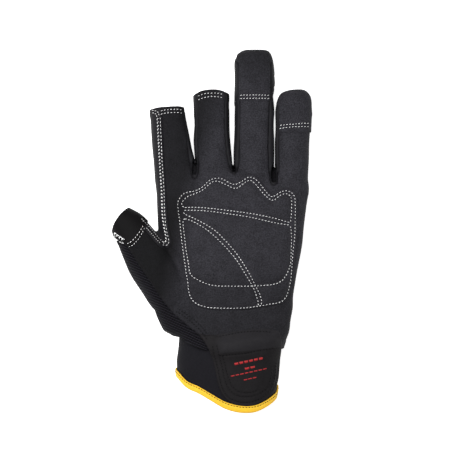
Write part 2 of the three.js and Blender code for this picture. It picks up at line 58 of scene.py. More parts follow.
# Sizes of the part
MM = 0.001
GLOVE_LENGTH = 250.0
PALM_WIDTH = 103.0
PALM_DEPTH = 34.0
WALL = 1.6
CUFF_WALL = 3.0
FINGER_WIDTH = 27.0
FINGER_DEPTH = 20.0
FINGER_LIFT = 3.5
FINGERTIP_ROUND = 13.0
SEAM_HEIGHT = 14.0
THUMB_LENGTH = 57.0
THUMB_WIDTH = 36.0
THUMB_DEPTH = 32.0
THUMB_HEIGHT = 18.0
THUMB_ANGLE = math.radians(144)
CUFF_WIDTH = 70.0
CUFF_DEPTH = 38.0
CUFF_FLOOR = 1.9
CUFF_DIP = 26.0
CUFF_TOP = 0.219
PALM_SQUARENESS = 2.5
TUBE_SQUARENESS = 2.2
FINGERTIP_POWER = 3.0
HEM_SLANT = 2.3
HEM_REACH = 14.5

# The photo, looked at straight from above: its middle line, middle row and scale
PHOTO_SIZE = 452
PHOTO_ACROSS = 212.0
PHOTO_ALONG = 230.5
PHOTO_SCALE = 0.6906

# Sections of the hand, thumb and cuff, close to the part's, as shares of the sizes above
# Palm: place along on the thumb's side and on the little finger's, left, right, floor and top
PALM_ROWS = [
    (0.704, 0.658, -0.345, 0.605, 0.14, 0.52),
    (0.688, 0.645, -0.381, 0.641, 0.03, 0.69),
    (0.64, 0.612, -0.378, 0.65, -0.04, 0.83),
    (0.573, 0.573, -0.371, 0.637, -0.04, 0.9),
    (0.507, 0.507, -0.366, 0.619, -0.04, 0.94),
    (0.457, 0.457, -0.336, 0.604, -0.04, 0.97),
    (0.408, 0.408, -0.329, 0.582, -0.04, 1.0),
    (0.364, 0.364, -0.362, 0.561, -0.04, 1.0),
    (0.32, 0.32, -0.409, 0.543, -0.04, 1.01),
    (0.286, 0.286, -0.389, 0.54, -0.04, 1.04),
    (0.253, 0.253, -0.358, 0.529, -0.04, 1.09),
    (0.226, 0.226, -0.322, 0.522, -0.04, 1.15),
    (0.207, 0.204, -0.248, 0.505, -0.04, 1.22),
    (0.17, 0.15, -0.246, 0.458, -0.04, 1.28),
]
# Fingers: reach, open or not, then middle line and girth, each at root, middle and tip
FINGERS = {
    "index": (0.833, True, (-0.244, -0.266, -0.302), (0.934, 0.994, 0.886)),
    "middle": (0.879, True, (0.014, 0.004, -0.007), (0.926, 0.895, 0.912)),
    "ring": (0.994, False, (0.282, 0.286, 0.289), (1.043, 1.032, 1.002)),
    "little": (0.882, False, (0.526, 0.541, 0.545), (0.817, 0.88, 0.917)),
}
FINGER_ROOT = 0.57
FINGER_DEPTHS = (1.1, 1.04, 0.95)
FINGER_MIDDLE = 0.86
THUMB_ROOT = (-0.28, 0.342)
# Thumb: place along, middle across, half width, half depth and height
THUMB_ROWS = [
    (-0.3, -0.06, 0.36, 0.4, 0.94),
    (-0.14, -0.04, 0.46, 0.5, 0.97),
    (0.04, 0.002, 0.513, 0.53, 1.0),
    (0.25, 0.103, 0.502, 0.51, 1.0),
    (0.5, 0.23, 0.466, 0.46, 1.02),
    (0.7, 0.354, 0.41, 0.41, 1.05),
    (0.84, 0.444, 0.345, 0.37, 1.08),
    (1.0, 0.515, 0.245, 0.32, 1.1),
    (1.15, 0.56, 0.2, 0.28, 1.1),
]
# Cuff: place along, left, right and top
CUFF_ROWS = [
    (0.226, -0.31, 0.62, 0.9),
    (0.2, -0.322, 0.64, 0.975),
    (0.17, -0.332, 0.668, 1.0),
    (0.138, -0.345, 0.669, 1.01),
    (0.1, -0.345, 0.657, 1.01),
    (0.05, -0.343, 0.63, 1.0),
    (-0.02, -0.34, 0.62, 1.0),
]
CUFF_LEFT = -0.345
# The cuff's lower edge on the palm side: share across, share of the dip
CUFF_EDGE = [
    (0.0, 0.05), (0.1, 0.33), (0.21, 0.465), (0.33, 0.648), (0.46, 0.845), (0.58, 0.945),
    (0.69, 0.975), (0.79, 0.942), (0.9, 0.8), (0.97, 0.63), (1.0, 0.46),
]

# Edges of panels in planform, as shares of palm width and glove length
WRIST_EDGE = [
    (-0.6, 0.214), (-0.4, 0.212), (-0.22, 0.209), (-0.15, 0.192), (-0.03, 0.174), (0.25, 0.17),
    (0.48, 0.176), (0.7, 0.182),
]
KNIT_LINE = [
    (-0.66, 0.476), (-0.58, 0.466), (-0.565, 0.455), (-0.514, 0.42), (-0.405, 0.352), (-0.302, 0.291),
    (-0.223, 0.26), (-0.095, 0.217), (-0.035, 0.19), (-0.01, 0.15),
]
THUMB_CAP_LINE = [
    (-0.4, 0.54), (-0.45, 0.513), (-0.487, 0.48), (-0.52, 0.464), (-0.556, 0.456), (-0.585, 0.466),
    (-0.66, 0.483),
]

# Seams round the strips between the fingers, as closed lines of photo points
STRIPS = {
    "fourchette_index_middle": [
        (182.6, 100), (184.5, 112), (186.4, 130), (187.8, 138.3), (188.8, 156.1), (191.1, 172.8),
        (192.2, 177.2), (194.4, 179.1), (196.7, 177.6), (198.4, 173.9), (199.2, 165), (197.6, 156.1),
        (196.6, 140.5), (196.6, 118.3), (197, 100.5), (197.2, 84), (190, 84), (190, 100),
    ],
    "fourchette_middle_ring": [
        (224.4, 80), (225.6, 99.4), (225.2, 121.7), (225.9, 138.3), (227.2, 153.9), (230, 167.2),
        (231.4, 172), (234.4, 174.2), (237.6, 171.2), (239, 160.6), (238.9, 140.6), (239.2, 118.3),
        (239.4, 100.6), (239, 80), (238.4, 66), (237.4, 57), (232, 57), (231, 80),
    ],
    "fourchette_ring_little": [
        (269.6, 57), (270.4, 66), (270.4, 80), (270, 99.4), (269.4, 118.3), (268.9, 138.3), (268.6, 147.2),
        (269.4, 162.8), (270, 179.4), (271.3, 183.9), (274.4, 185.3), (277.8, 183.2), (278.6, 162.8),
        (278.3, 140.6), (278.6, 129.4), (279.2, 113), (280.4, 102), (281.4, 96), (276, 92), (276, 57),
    ],
    "thumb_index_strip": [
        (160.5, 96), (161.8, 112), (162.2, 125), (162.7, 140), (163.4, 157), (164.3, 170), (165.2, 185),
        (166, 200), (166.7, 215), (168.1, 228), (170, 237), (171, 243.6), (168.6, 247.4), (164.5, 247.8),
        (160, 245.2), (154.6, 239.6), (149.6, 233.4), (145.6, 228.8), (141.5, 223), (137.5, 216), (133, 207),
        (131, 207), (131, 96),
    ],
}
# Where the strips end on the ring and little fingers, and how they narrow there
STRIP_ENDS = [(274.9, 57), (274.9, 93)]
STRIP_HEIGHT = 15.0
STRIP_END_HALF = 2.0
STRIP_TAPER = 0.8

# Fingertip patches: photo left, right and lower edge, and where each widens above that, in millimetres
RING_PATCH = (239.3, 269.9, 101.2, (25, 33))
LITTLE_PATCH = (279.4, 330, 132.4, (17, 25))

# Hem lines: for a finger, photo points of the edge on its palm side; for the thumb, its own reach
# against its place across
INDEX_HEM = [
    (140, 111.4), (151, 110.2), (158, 108.8), (166.4, 108.2), (175, 107.6), (183.4, 107.6), (196, 109.6),
]
MIDDLE_HEM = [
    (184, 101.4), (192.3, 96.4), (197.5, 93.6), (203.7, 91.6), (212, 90.8), (220, 91.4), (228.9, 94.3),
    (238, 98.4),
]
THUMB_HEM = [
    (-12.0, 50.6), (-6.0, 50.9), (-1.0, 51.4), (3.0, 52.2), (6.2, 53.5), (8.8, 54.9), (12.0, 56.0),
    (16.5, 56.7), (22.4, 56.5), (28.3, 54.7), (34.0, 51.0),
]

# Lines of stitches and edges, as photo points
PATCH_ROW = [
    (177.9, 203), (179.5, 199), (183.3, 194.2), (188.2, 192.2), (195.8, 190.9), (203.4, 186.6),
    (208.8, 181.1), (213.1, 179), (219.7, 178.4), (225.1, 180.6), (230.5, 183.6), (235.9, 184.7),
    (242.4, 181.1), (248.9, 177.1), (254.9, 179), (260.9, 185.5), (266.3, 192.5), (271.2, 197.2),
    (277.1, 194.2), (282.6, 191.2), (288, 191.2), (292.3, 193.6), (294.5, 197.4), (295, 206.6),
    (294.8, 220.7), (294.5, 235.9), (292.9, 250), (291.8, 264), (290.7, 278.2), (288.5, 289),
    (285.8, 296.7), (280.4, 301.5), (268.5, 303.7), (255.4, 305.9), (246.8, 307), (230.5, 307.5),
    (214.2, 307.2), (205.6, 306.2), (198, 303.7), (192.5, 299.4), (189.3, 292.3), (188.2, 282.6),
    (186.6, 272.8), (184.4, 257.6), (182.2, 242.4), (180.6, 227.2), (179, 214.2),
]
PATCH_ROWS = [
    [
        (182.2, 202.3), (187.1, 196.9), (195.8, 193.6), (203.4, 189.8), (212, 182.2), (218.6, 181.7),
        (227.2, 185.5), (235.9, 188.7), (244.6, 182.8), (250, 180.4), (255.4, 184.4), (263, 193.6),
        (272.3, 200.7), (279.3, 195.8), (285.8, 193.6), (290.2, 196.3), (291.4, 202.3), (291.2, 212),
        (290.2, 222.4),
    ],
    [(182.2, 202.3), (181.6, 204.6), (182.4, 206.6), (184.4, 207.7)],
    [
        (184.4, 207.7), (195.8, 207.4), (211, 208.5), (225.1, 210.2), (242.4, 212.4), (257.6, 214.8),
        (272.8, 218), (282.6, 220.7), (289.6, 222.7),
    ],
    [
        (183.9, 210.4), (195.8, 210.4), (211, 211.5), (225.1, 213.4), (242.4, 215.9), (257.6, 218.9),
        (272.8, 222.4), (289.1, 225.1),
    ],
    [
        (289.6, 225.6), (290.9, 229.4), (291.2, 240.3), (290.7, 255.4), (290.2, 264), (286.4, 273.9),
        (281.5, 280.4), (275, 283.6), (266.8, 284.7), (252.2, 285.5), (230.5, 285.6), (216.4, 285.3),
        (207.7, 283.6), (200.1, 280.4), (192.5, 276.1), (189.8, 271.7), (188.7, 263), (186.6, 252.2),
        (184.9, 238.1), (183.6, 227.2), (183.3, 220.7), (185.5, 218),
    ],
    [
        (183.3, 212), (184.9, 214.2), (195.8, 219.1), (207.7, 225.6), (216.4, 231.6), (225.1, 240.3),
        (233.8, 250), (242.4, 262), (248.9, 272.8), (254.4, 283.6), (259.8, 294.5), (261.4, 301),
        (260.9, 304.3),
    ],
    [
        (184.4, 218.6), (191.5, 220.7), (203.4, 227.2), (212.1, 233.8), (220.7, 241.9), (229.4, 251.1),
        (238.1, 262), (244.6, 272.8), (250, 281.5), (254.4, 290.2), (257.6, 299.9), (258.2, 305.3),
    ],
]
TIP_ROWS = [
    [(239.5, 95.4), (254.5, 95.2), (269.7, 95.4)],
    [(239.5, 98.6), (254.5, 98.5), (269.7, 98.6)],
    [(279.4, 125.6), (287.4, 124.7), (296, 124.2), (303, 123.4), (309.4, 123.3)],
    [(278.8, 128.7), (287.4, 127.6), (296, 126.9), (303, 126.7), (309.4, 126.7)],
]
HEM_ROWS = [
    [(160.2, 111.4), (165.5, 110.3), (171.8, 109.6), (178.5, 109.6), (182.4, 110.2)],
    [(160.2, 114.6), (165.5, 113.5), (171.8, 112.8), (178.5, 112.8), (182.8, 113.4)],
    [(197.4, 96.6), (202.8, 94.3), (208.6, 93.6), (214, 93.4), (218.2, 93.6), (223, 94.7)],
    [(197.4, 100.3), (202, 98.5), (207.4, 97.2), (211.5, 96.8), (217.3, 97), (222.9, 98)],
    [(151.6, 110.4), (155.5, 110.8), (158.4, 112.6), (159.3, 116)],
    [(151.8, 112.8), (155, 113.4), (156.6, 115), (157, 117.6)],
]
COVER_LEFT = [
    (157.2, 118), (157.8, 131), (158.2, 140), (158.7, 149), (159.1, 157), (159.7, 168), (160.4, 179),
    (161.2, 190), (161.7, 204), (162.2, 216), (163.6, 226), (165, 233.6), (166.2, 240), (164.6, 242.6),
    (161.6, 240.8),
]
THUMB_SIDE_ROWS = [
    [(161.6, 240.8), (157, 235.8), (152, 229.3), (147, 224.3), (141.4, 218.2)],
    [(160.6, 243.2), (155.6, 238), (150.4, 231.8), (146.4, 227.4)],
]
COVER_RIGHT = [
    (160.2, 117), (160.7, 127), (161.1, 138), (161.5, 145), (161.9, 157), (162.5, 167), (163.3, 179),
    (164.1, 190), (164.5, 204), (165.1, 218), (166.5, 229), (168.4, 237.4), (169.2, 243), (166.4, 246),
    (162, 244.2),
]
CAP_ROWS = [
    [(143.8, 225), (141.3, 229.7), (138.4, 234.3), (134, 239.6), (129.8, 243), (127, 243.5)],
    [(145, 227.4), (142.8, 232.4), (139.8, 237.7), (135.6, 243), (132, 246), (128.5, 246.6)],
]
LADDER_TOP = [(114.7, 232.2), (118, 234.8), (121.5, 237.2), (125.4, 239.6)]
LADDER_BOTTOM = [(114.9, 237.4), (117.6, 240), (120.6, 242.2), (124.6, 243.4)]
KNIT_ROWS = [
    [(175.5, 310.6), (184.7, 315.7), (193.9, 322.9), (202, 331), (207.5, 338.4)],
    [(178.4, 308.6), (187, 313.6), (196.2, 320.6), (204.6, 328.8), (209.4, 335.4)],
]
TAB_ROWS = [
    [
        (212.6, 344), (215, 356), (217.8, 366), (219.6, 376), (222.6, 387), (227.6, 394.4), (234, 398.6),
        (243, 400.8), (252, 400), (260, 397), (267, 391.6), (272.6, 384.6), (275, 374), (276, 361),
    ],
    [
        (216.6, 343), (219, 353), (221, 361), (222.8, 368), (224.4, 376), (227.4, 384.4), (231.4, 390),
        (237, 393.6), (245, 395), (253, 394.2), (260.6, 391.2), (267, 386), (270.6, 377), (272.2, 364),
    ],
    [
        (222.4, 353.6), (224.6, 361), (226.4, 369), (228.8, 377), (231.8, 383.6), (236.4, 388.4),
        (243, 390.8), (250, 391), (257, 388.8),
    ],
]
FLEX_UPPER = [(215.4, 335.6), (226, 333.8), (236.8, 331.6), (249.3, 330.3), (262.7, 330.3), (270.7, 331.2)]
FLEX_LOWER = [
    (218.6, 354.2), (228, 353.2), (236.8, 352.6), (245.7, 351.7), (254.6, 349.9), (262, 348.6), (274, 347),
]
TAB_EDGE = [
    (199.6, 333.4), (206, 342.6), (211.6, 353.6), (215, 367), (217.8, 381), (221.4, 391), (226.4, 398),
    (233.4, 402.6), (241.4, 404.4), (249.3, 404.6), (258.4, 402), (267, 396.8), (273.8, 389.6), (277.4, 377),
    (278.6, 361), (280.2, 347), (279.6, 336), (275, 329.8), (262, 328.2), (248, 328.8), (234, 330.8),
    (218, 333.4), (208, 334),
]
# Rows of red dashes: photo middle, number, then step, length and width in millimetres
PRINT_TILT = math.radians(11.5)
PRINT_ROWS = [
    ((248.4, 359.6), 6, 3.4, 2.6, 1.5), ((249.6, 366.2), 2, 3.9, 3.0, 1.3),
    ((248.6, 370.8), 8, 3.2, 2.4, 0.7), ((249.8, 377), 3, 3.1, 2.4, 0.7),
]

# A dash: points along it, and how far it stands out of the tongue and goes in
DASH_POINTS = 7
DASH_RISE = 0.1
DASH_SINK = -0.2

# Webs low in the gaps between fingers: photo points and half widths
WEBS = [
    [(194.6, 188, 4.0), (194.8, 179, 3.2), (194.8, 170, 2.6), (194.8, 162, 1.8)],
    [(233.4, 188, 4.5), (233.8, 181, 3.6), (233.8, 176, 2.8), (233.6, 169, 1.8)],
    [(274.4, 194, 4.5), (274.5, 184, 3.6), (274.6, 174, 2.6), (274.7, 167, 1.8)],
]
# How far the gaps are drawn together: photo points and the share of the width that goes
GAPS = [
    [(189, 126, 0.0), (190.8, 140, 0.3), (193.2, 150, 0.42), (194.7, 157, 0.74), (194.7, 166, 0.8)],
    [(231.9, 126, 0.0), (232.2, 140, 0.18), (232.7, 150, 0.42), (233.1, 158, 0.62), (233.5, 168, 0.8)],
    [(275.4, 96, 0.0), (275, 104, 0.5), (274.9, 112, 0.9), (274.8, 118, 0.87), (274.6, 142, 0.88),
     (274.7, 152, 0.86), (274.7, 165, 0.88)],
]
GAP_HALVES = (3.4, 2.2, 1.9)
# The gap between the ring and little fingers: photo points of its lower and upper ends
PART_LOW = (274.8, 172)
PART_HIGH = (274.8, 92)
# Pockets at the bottoms of the gaps: photo points and half widths
POCKETS = [
    [(195.2, 157, 1.4), (194.9, 163, 2.5), (194.5, 169, 2.9), (194.3, 174.6, 2.2)],
    [(233.6, 165, 1.6), (234, 168.4, 2.3), (234.3, 172, 1.8)],
    [(274.7, 164, 1.6), (274.1, 170, 2.8), (273.9, 176, 3.1), (274.1, 182, 2.4)],
]

# Closed fingertips: photo rows from the side of the finger up, with their left and right edges
TIP_EDGES = {
    "ring": [
        (84, 235, 275.2), (76.5, 234.9, 275.2), (69, 234.9, 274.9), (62.8, 235.1, 273.9),
        (58.5, 236.2, 272.7), (55, 237.4, 271.5), (52.6, 239.2, 270.2), (51, 241.4, 268.8),
        (49.9, 244, 266.8), (49.3, 248, 263),
    ],
    "little": [
        (114, 275.9, 311.2), (104, 276.1, 311), (99, 276.8, 310.5), (96, 277.9, 309.7), (93.6, 280, 308.3),
        (91.4, 284, 306.3), (90.1, 288.2, 304.2), (89.3, 292.2, 301.4),
    ],
}

# Soft folds: photo points, depth and width in millimetres
FOLDS = [
    ([(169, 244), (175, 258), (183, 278)], 1.0, 3.2),
    ([(167.5, 254), (165, 270), (164, 290)], 0.7, 3.4),
    ([(177, 192), (184, 186), (192, 178)], 0.5, 3.0),
    ([(196, 184), (206, 176), (216, 172)], 0.4, 3.0),
    ([(238, 176), (250, 172), (262, 176)], 0.4, 3.0),
    ([(168, 160), (176, 163), (186, 162)], 0.35, 2.4),
    ([(168, 196), (174, 206), (177, 218)], 0.5, 3.0),
    ([(196, 150), (210, 154), (224, 152)], 0.3, 2.6),
    ([(240, 132), (254, 136), (270, 133)], 0.3, 2.6),
    ([(283, 152), (294, 156), (306, 153)], 0.3, 2.6),
    ([(184, 312), (214, 318), (246, 317), (284, 312)], 0.8, 4.0),
]

# Stitches of the patch, of the short rows, of the thumb's side, of the ladder down the index strip,
# of the ladder on the thumb, of the black rows and of the tape. A pitch is the step from one stitch
# to the next, a share is how much of the step shows, and a radius is the thread's.
STITCH_PITCH = 2.24
STITCH_SHARE = 0.57
STITCH_SLANT = 0.06
THREAD_RADIUS = 0.175
SHORT_PITCH = 2.15
SIDE_PITCH = 1.7
SIDE_SHARE = 0.5
COVER_PITCH = 2.35
COVER_LEAN = 1.0
COVER_SHARE = 0.6
COVER_RADIUS = 0.17
TACK_PITCH = 2.0
TACK_LEAN = 0.4
TACK_RADIUS = 0.27
BLACK_PITCH = 2.1
BLACK_RADIUS = 0.38
TAPE_THREAD = 0.25
TAPE_ROW = 3.5
TAPE_SPACE = 0.12
# A stitch is left out where it would lie lower or run steeper than this, down the glove's side
STITCH_FLOOR = 4.0
STEEPEST = 2.0
# A thread from end to end: share of its length, share of its radius, and rise in radii
THREAD_SIDES = 6
THREAD_RUN = [
    (0.0, 0.0, -1.2), (0.06, 0.62, -0.75), (0.22, 0.95, -0.1), (0.5, 1.0, 0.25), (0.78, 0.95, -0.1),
    (0.94, 0.62, -0.75), (1.0, 0.0, -1.2),
]

# The skin: size of its cells, smoothing, unevenness, seams, gaps between the fingers, and edges
VOXEL = 0.9
CUT_SNAP = 0.06
SMOOTHING = 12
SMOOTH_OUT = 0.5
SMOOTH_BACK = -0.52
WRIST_ROUNDS = 90
SEED = 11
WAVES = 14
WAVE_LENGTHS = (16, 46)
WAVE_HEIGHT = 0.07
GROOVE_DEPTH = 1.0
GROOVE_WIDTH = 0.62
POCKET_DEPTH = 9.5
GAP_FADE = 2.6
PART = 1.1
PART_WIDTH = 4
LIP_RISE = 0.4
LIP_REACH = 4.6
KNIT_TUCK = 1.3
TUCK_WIDTH = 2.6
KNIT_SINK = 0.35
HEM_BULGE = 0.8
LEAST_WALL = 0.8
RIM_SHARES = (0.2, 0.5, 0.8)

# Layers sewn over the skin: base, walls, padding between rows, and what a row sinks
LAYER_FLOOR = 0.05
LAYER_LIFT = 0.25
LAYER_EDGE = 0.9
LAYER_ROUNDS = (0.35, 0.9)
PATCH_WALL = 1.0
PATCH_MARGIN = 1.3
PADDING = 1.5
PATCH_SPREAD = 2.8
FLEX_SPREAD = 3.6
FLEX_PAST = (12, 0)
ROW_SINK = 0.25
TIP_WALL = 0.6
TIP_SINK = -0.2
TIP_WRAP = 8
CAP_WALL = 0.7
TAB_WALL = 1.15
TAB_FLOOR = 22

# Cuff and tape
CUFF_TURNS = 240
BINDING_HEIGHT = 4.5
BINDING_WALL = 1.0
TAPE_HALF = CUFF_WALL / 2 + 0.25 + BINDING_WALL
# The tape's outer fold above its bend: place up, and how far it stands out
TAPE_FOLD = [
    (4.3, 0.0), (4.05, 0.06), (3.8, 0.0), (3.5, -0.2), (3.2, 0.02), (2.7, 0.2), (1.6, 0.2), (0.7, 0.1),
]

# Table, lamps and camera, in metres: a lamp's place, size and power
TABLE_HALF = 3.0
TABLE_DROP = 0.0006
TABLE_GLOW = 0.75
WORLD_LIGHT = 0.23
LAMPS = [("key", (-0.13, 0.05, 0.5), 0.35, 3.4), ("fill", (0.15, 0.3, 1.2), 0.9, 4.2)]
LAMP_AIM = (0.01, 0, 0.02)
CAMERA_HEIGHT = 1.8
GLOVE_MIDDLE_HEIGHT = 0.02
SENSOR = 36.0


def smooth_step(value, low, high):
    share = np.clip((value - low) / (high - low), 0, 1)
    return share * share * (3 - 2 * share)


def bell(gap, width):
    """1 where a gap is nought, falling away over a width"""
    return np.exp(-((gap / width) ** 2))


def settled(height, softness):
    """Heights kept above nought, as cloth rests on a surface"""
    return 0.5 * (height + np.sqrt(height**2 + softness))


def around(count):
    """Even turns round a section"""
    return np.linspace(0, 2 * math.pi, count, endpoint=False)


def across(share):
    return share * PALM_WIDTH


def along(share):
    return (share - 0.5) * GLOVE_LENGTH


def placed(points):
    """Shares of the palm's width and the glove's length as places in millimetres"""
    return np.array([(across(x), along(y)) for x, y in points])


def seen(points):
    """Photo points as places in millimetres"""
    return np.array([((x - PHOTO_ACROSS) * PHOTO_SCALE, (PHOTO_ALONG - y) * PHOTO_SCALE) for x, y in points])


def spot(x, y):
    """One photo point as a place in millimetres"""
    return seen([(x, y)])[0]


def curve(points, steps=6, closed=False):
    """A smooth line through points"""
    points = np.asarray(points, float)
    if closed:
        padded = np.vstack([points[-1:], points, points[:2]])
    else:
        padded = np.vstack([2 * points[0] - points[1], points, 2 * points[-1] - points[-2]])
    t = np.linspace(0, 1, steps, endpoint=False)[:, None]
    out = []
    for a, b, c, d in zip(padded[:-3], padded[1:-2], padded[2:-1], padded[3:]):
        out.append(
            0.5 * (2 * b + (c - a) * t + (2 * a - 5 * b + 4 * c - d) * t**2 + (3 * b - a - 3 * c + d) * t**3)
        )
    line = np.vstack(out)
    return line if closed else np.vstack([line, points[-1:]])


def round_section(turns, half_wide, half_deep, squareness):
    bend = lambda value: np.sign(value) * np.abs(value) ** (2 / squareness)
    return half_wide * bend(np.cos(turns)), half_deep * bend(np.sin(turns))


def cross_ring(count, middle, y, height, half_wide, half_deep):
    """A rounded section across the glove, as a ring of points"""
    x, z = round_section(around(count), half_wide, half_deep, TUBE_SQUARENESS)
    return np.column_stack([middle + x, np.full_like(x, y), height + z])


def through(values, share):
    """A smooth value between those at the root, middle and tip of a finger"""
    root, mid, tip = values
    return (
        root * 2 * (share - 0.5) * (share - 1)
        + mid * 4 * share * (1 - share)
        + tip * 2 * share * (share - 0.5)
    )


def loft(rings):
    """Points and faces of a closed tube over rings of points"""
    count = len(rings[0])
    points = np.vstack(rings + [rings[0].mean(0)[None], rings[-1].mean(0)[None]])
    first, last = len(points) - 2, len(points) - 1
    faces = []
    for row in range(len(rings) - 1):
        for i in range(count):
            a, b = row * count + i, row * count + (i + 1) % count
            faces += [(a, b, b + count), (a, b + count, a + count)]
    top = (len(rings) - 1) * count
    for i in range(count):
        faces.append((first, (i + 1) % count, i))
        faces.append((last, top + i, top + (i + 1) % count))
    return points, np.array(faces)


def palm_tube():
    rings = []
    for thumb_side, little_side, left, right, floor, top in curve(PALM_ROWS, 8):
        left, right = across(left), across(right)
        floor, top = PALM_DEPTH * floor, PALM_DEPTH * top
        x, z = round_section(around(96), (right - left) / 2, (top - floor) / 2, PALM_SQUARENESS)
        share = x / (right - left) + 0.5
        y = along(thumb_side + (little_side - thumb_side) * share)
        rings.append(np.column_stack([(left + right) / 2 + x, y, (floor + top) / 2 + z]))
    return loft(rings)


def finger_at(name, share):
    """Middle and half sizes of a finger at a share of its length"""
    reach, _, places, girths = FINGERS[name]
    start = along(FINGER_ROOT)
    return {
        "x": across(through(places, share)),
        "y": start + share * (along(reach) - start),
        "z": SEAM_HEIGHT * FINGER_MIDDLE + FINGER_LIFT * share**2,
        "wide": FINGER_WIDTH / 2 * through(girths, share),
        "deep": FINGER_DEPTH / 2 * through(FINGER_DEPTHS, share),
    }


def finger_tube(name):
    reach, is_open = FINGERS[name][:2]
    length = along(reach) - along(FINGER_ROOT)
    if is_open:
        stations = [(share, 1.0) for share in np.linspace(0, 1 + 8 / length, 40)]
    else:
        rows = curve([(y, *seen([(left, y), (right, y)])[:, 0]) for y, left, right in TIP_EDGES[name]], 4)
        rows[:, 0] = (PHOTO_ALONG - rows[:, 0]) * PHOTO_SCALE
        until = (rows[0, 0] - along(FINGER_ROOT)) / length
        stations = [(share, 1.0) for share in np.linspace(0, until, 30, endpoint=False)]
        for y in rows[:, 0]:
            reached = np.clip(1 - (rows[-1, 0] + 0.05 - y) / FINGERTIP_ROUND, 0, 1)
            size = (1 - reached**FINGERTIP_POWER) ** (1 / FINGERTIP_POWER)
            stations.append(((y - along(FINGER_ROOT)) / length, size))
    rings = []
    for share, size in stations:
        at = finger_at(name, share)
        if not is_open and share >= until:
            left, right = (np.interp(at["y"], rows[:, 0], rows[:, k]) for k in (1, 2))
            at["x"], at["wide"] = (left + right) / 2, (right - left) / 2
        rings.append(cross_ring(64, at["x"], at["y"], at["z"], at["wide"], at["deep"] * size))
    points, faces = loft(rings)
    # The ring and little fingers part a little, and are drawn together again once they are one skin
    if not is_open:
        gap_x, low = spot(*PART_LOW)
        high = spot(*PART_HIGH)[1]
        window = smooth_step(points[:, 1], low, low + 5) * (1 - smooth_step(points[:, 1], high - 2, high + 2))
        push = PART * window * bell(points[:, 0] - gap_x, PART_WIDTH)
        points[:, 0] += push * (-1 if name == "ring" else 1)
    return points, faces


def web_tube(rows):
    """Cloth that closes the gap between two fingers towards its bottom"""
    rings = []
    for x, y, half in curve(rows, 5):
        middle = spot(x, y)
        size = (half * PHOTO_SCALE, FINGER_DEPTH * 0.42)
        rings.append(cross_ring(32, *middle, SEAM_HEIGHT * 0.9, *size))
    return loft(rings)


THUMB_ALONG = np.array([math.cos(THUMB_ANGLE), math.sin(THUMB_ANGLE)])
THUMB_ACROSS = np.array([math.sin(THUMB_ANGLE), -math.cos(THUMB_ANGLE)])
thumb_root = np.array([across(THUMB_ROOT[0]), along(THUMB_ROOT[1])])


def thumb_tube():
    rings = []
    for reach, step, half, deep, lift in curve(THUMB_ROWS, 8):
        side, up = round_section(around(80), THUMB_WIDTH * half, THUMB_DEPTH * deep, TUBE_SQUARENESS)
        middle = thumb_root + THUMB_LENGTH * reach * THUMB_ALONG
        place = middle + (THUMB_WIDTH * step + side)[:, None] * THUMB_ACROSS
        rings.append(np.column_stack([place, THUMB_HEIGHT * lift + up]))
    return loft(rings)


cuff_rows = curve(CUFF_ROWS, 8)[::-1]


def cuff_section(y):
    """Middle, half width, floor and top of the cuff at a place along the glove"""
    share = y / GLOVE_LENGTH + 0.5
    left, right, top = (np.interp(share, cuff_rows[:, 0], cuff_rows[:, k]) for k in (1, 2, 3))
    return (
        CUFF_WIDTH * (left + right) / 2,
        CUFF_WIDTH * (right - left) / 2,
        CUFF_FLOOR - 1.5,
        CUFF_FLOOR + CUFF_DEPTH * top,
    )


def cuff_tube(from_share, to_share):
    rings = []
    for y in np.linspace(along(from_share), along(to_share), 24):
        middle, half, floor, top = cuff_section(y)
        rings.append(cross_ring(96, middle, y, (floor + top) / 2, half, (top - floor) / 2))
    return loft(rings)


def mesh_of(name, points, faces):
    mesh = bpy.data.meshes.new(name)
    mesh.from_pydata((np.asarray(points) * MM).tolist(), [], np.asarray(faces).tolist())
    mesh.update()
    return mesh


def joined_skin(tubes):
    """One even skin round several closed tubes"""
    parts = [bpy.data.objects.new("tube", mesh_of("tube", *tube)) for tube in tubes]
    for part in parts:
        bpy.context.scene.collection.objects.link(part)
    with bpy.context.temp_override(active_object=parts[0], selected_editable_objects=parts):
        bpy.ops.object.join()
    body = parts[0]
    remesh = body.modifiers.new("remesh", "REMESH")
    remesh.mode = "VOXEL"
    remesh.voxel_size = VOXEL * MM
    body.modifiers.new("split", "TRIANGULATE")
    got = bpy.data.meshes.new_from_object(body.evaluated_get(bpy.context.evaluated_depsgraph_get()))
    points = np.empty(len(got.vertices) * 3)
    got.vertices.foreach_get("co", points)
    faces = np.empty(len(got.polygons) * 3, dtype=np.int64)
    got.polygons.foreach_get("vertices", faces)
    bpy.data.objects.remove(body)
    return points.reshape(-1, 3) / MM, faces.reshape(-1, 3)


def sides_of(faces):
    """The three directed edges of every face"""
    return np.vstack([faces[:, [k, (k + 1) % 3]] for k in range(3)])


def edges_of(faces):
    """Every edge once, lower point first"""
    return np.unique(np.sort(sides_of(faces), axis=1), axis=0)


def relaxed(points, faces, shares):
    """Points moved by each share in turn towards the middle of their neighbours, or away from it"""
    edges = edges_of(faces)
    count = len(points)
    degree = np.bincount(edges.ravel(), minlength=count)[:, None]
    for share in shares:
        total = np.zeros_like(points)
        for axis in range(3):
            total[:, axis] = np.bincount(edges[:, 0], points[edges[:, 1], axis], count)
            total[:, axis] += np.bincount(edges[:, 1], points[edges[:, 0], axis], count)
        points = points + share * (total / degree - points)
    return points


def ways_of(points, faces):
    """Outward directions at the points of a skin"""
    a, b, c = (points[faces[:, k]] for k in range(3))
    normal = np.cross(b - a, c - a)
    out = np.zeros_like(points)
    for axis in range(3):
        for k in range(3):
            out[:, axis] += np.bincount(faces[:, k], normal[:, axis], len(points))
    return out / np.maximum(np.linalg.norm(out, axis=1), 1e-9)[:, None]


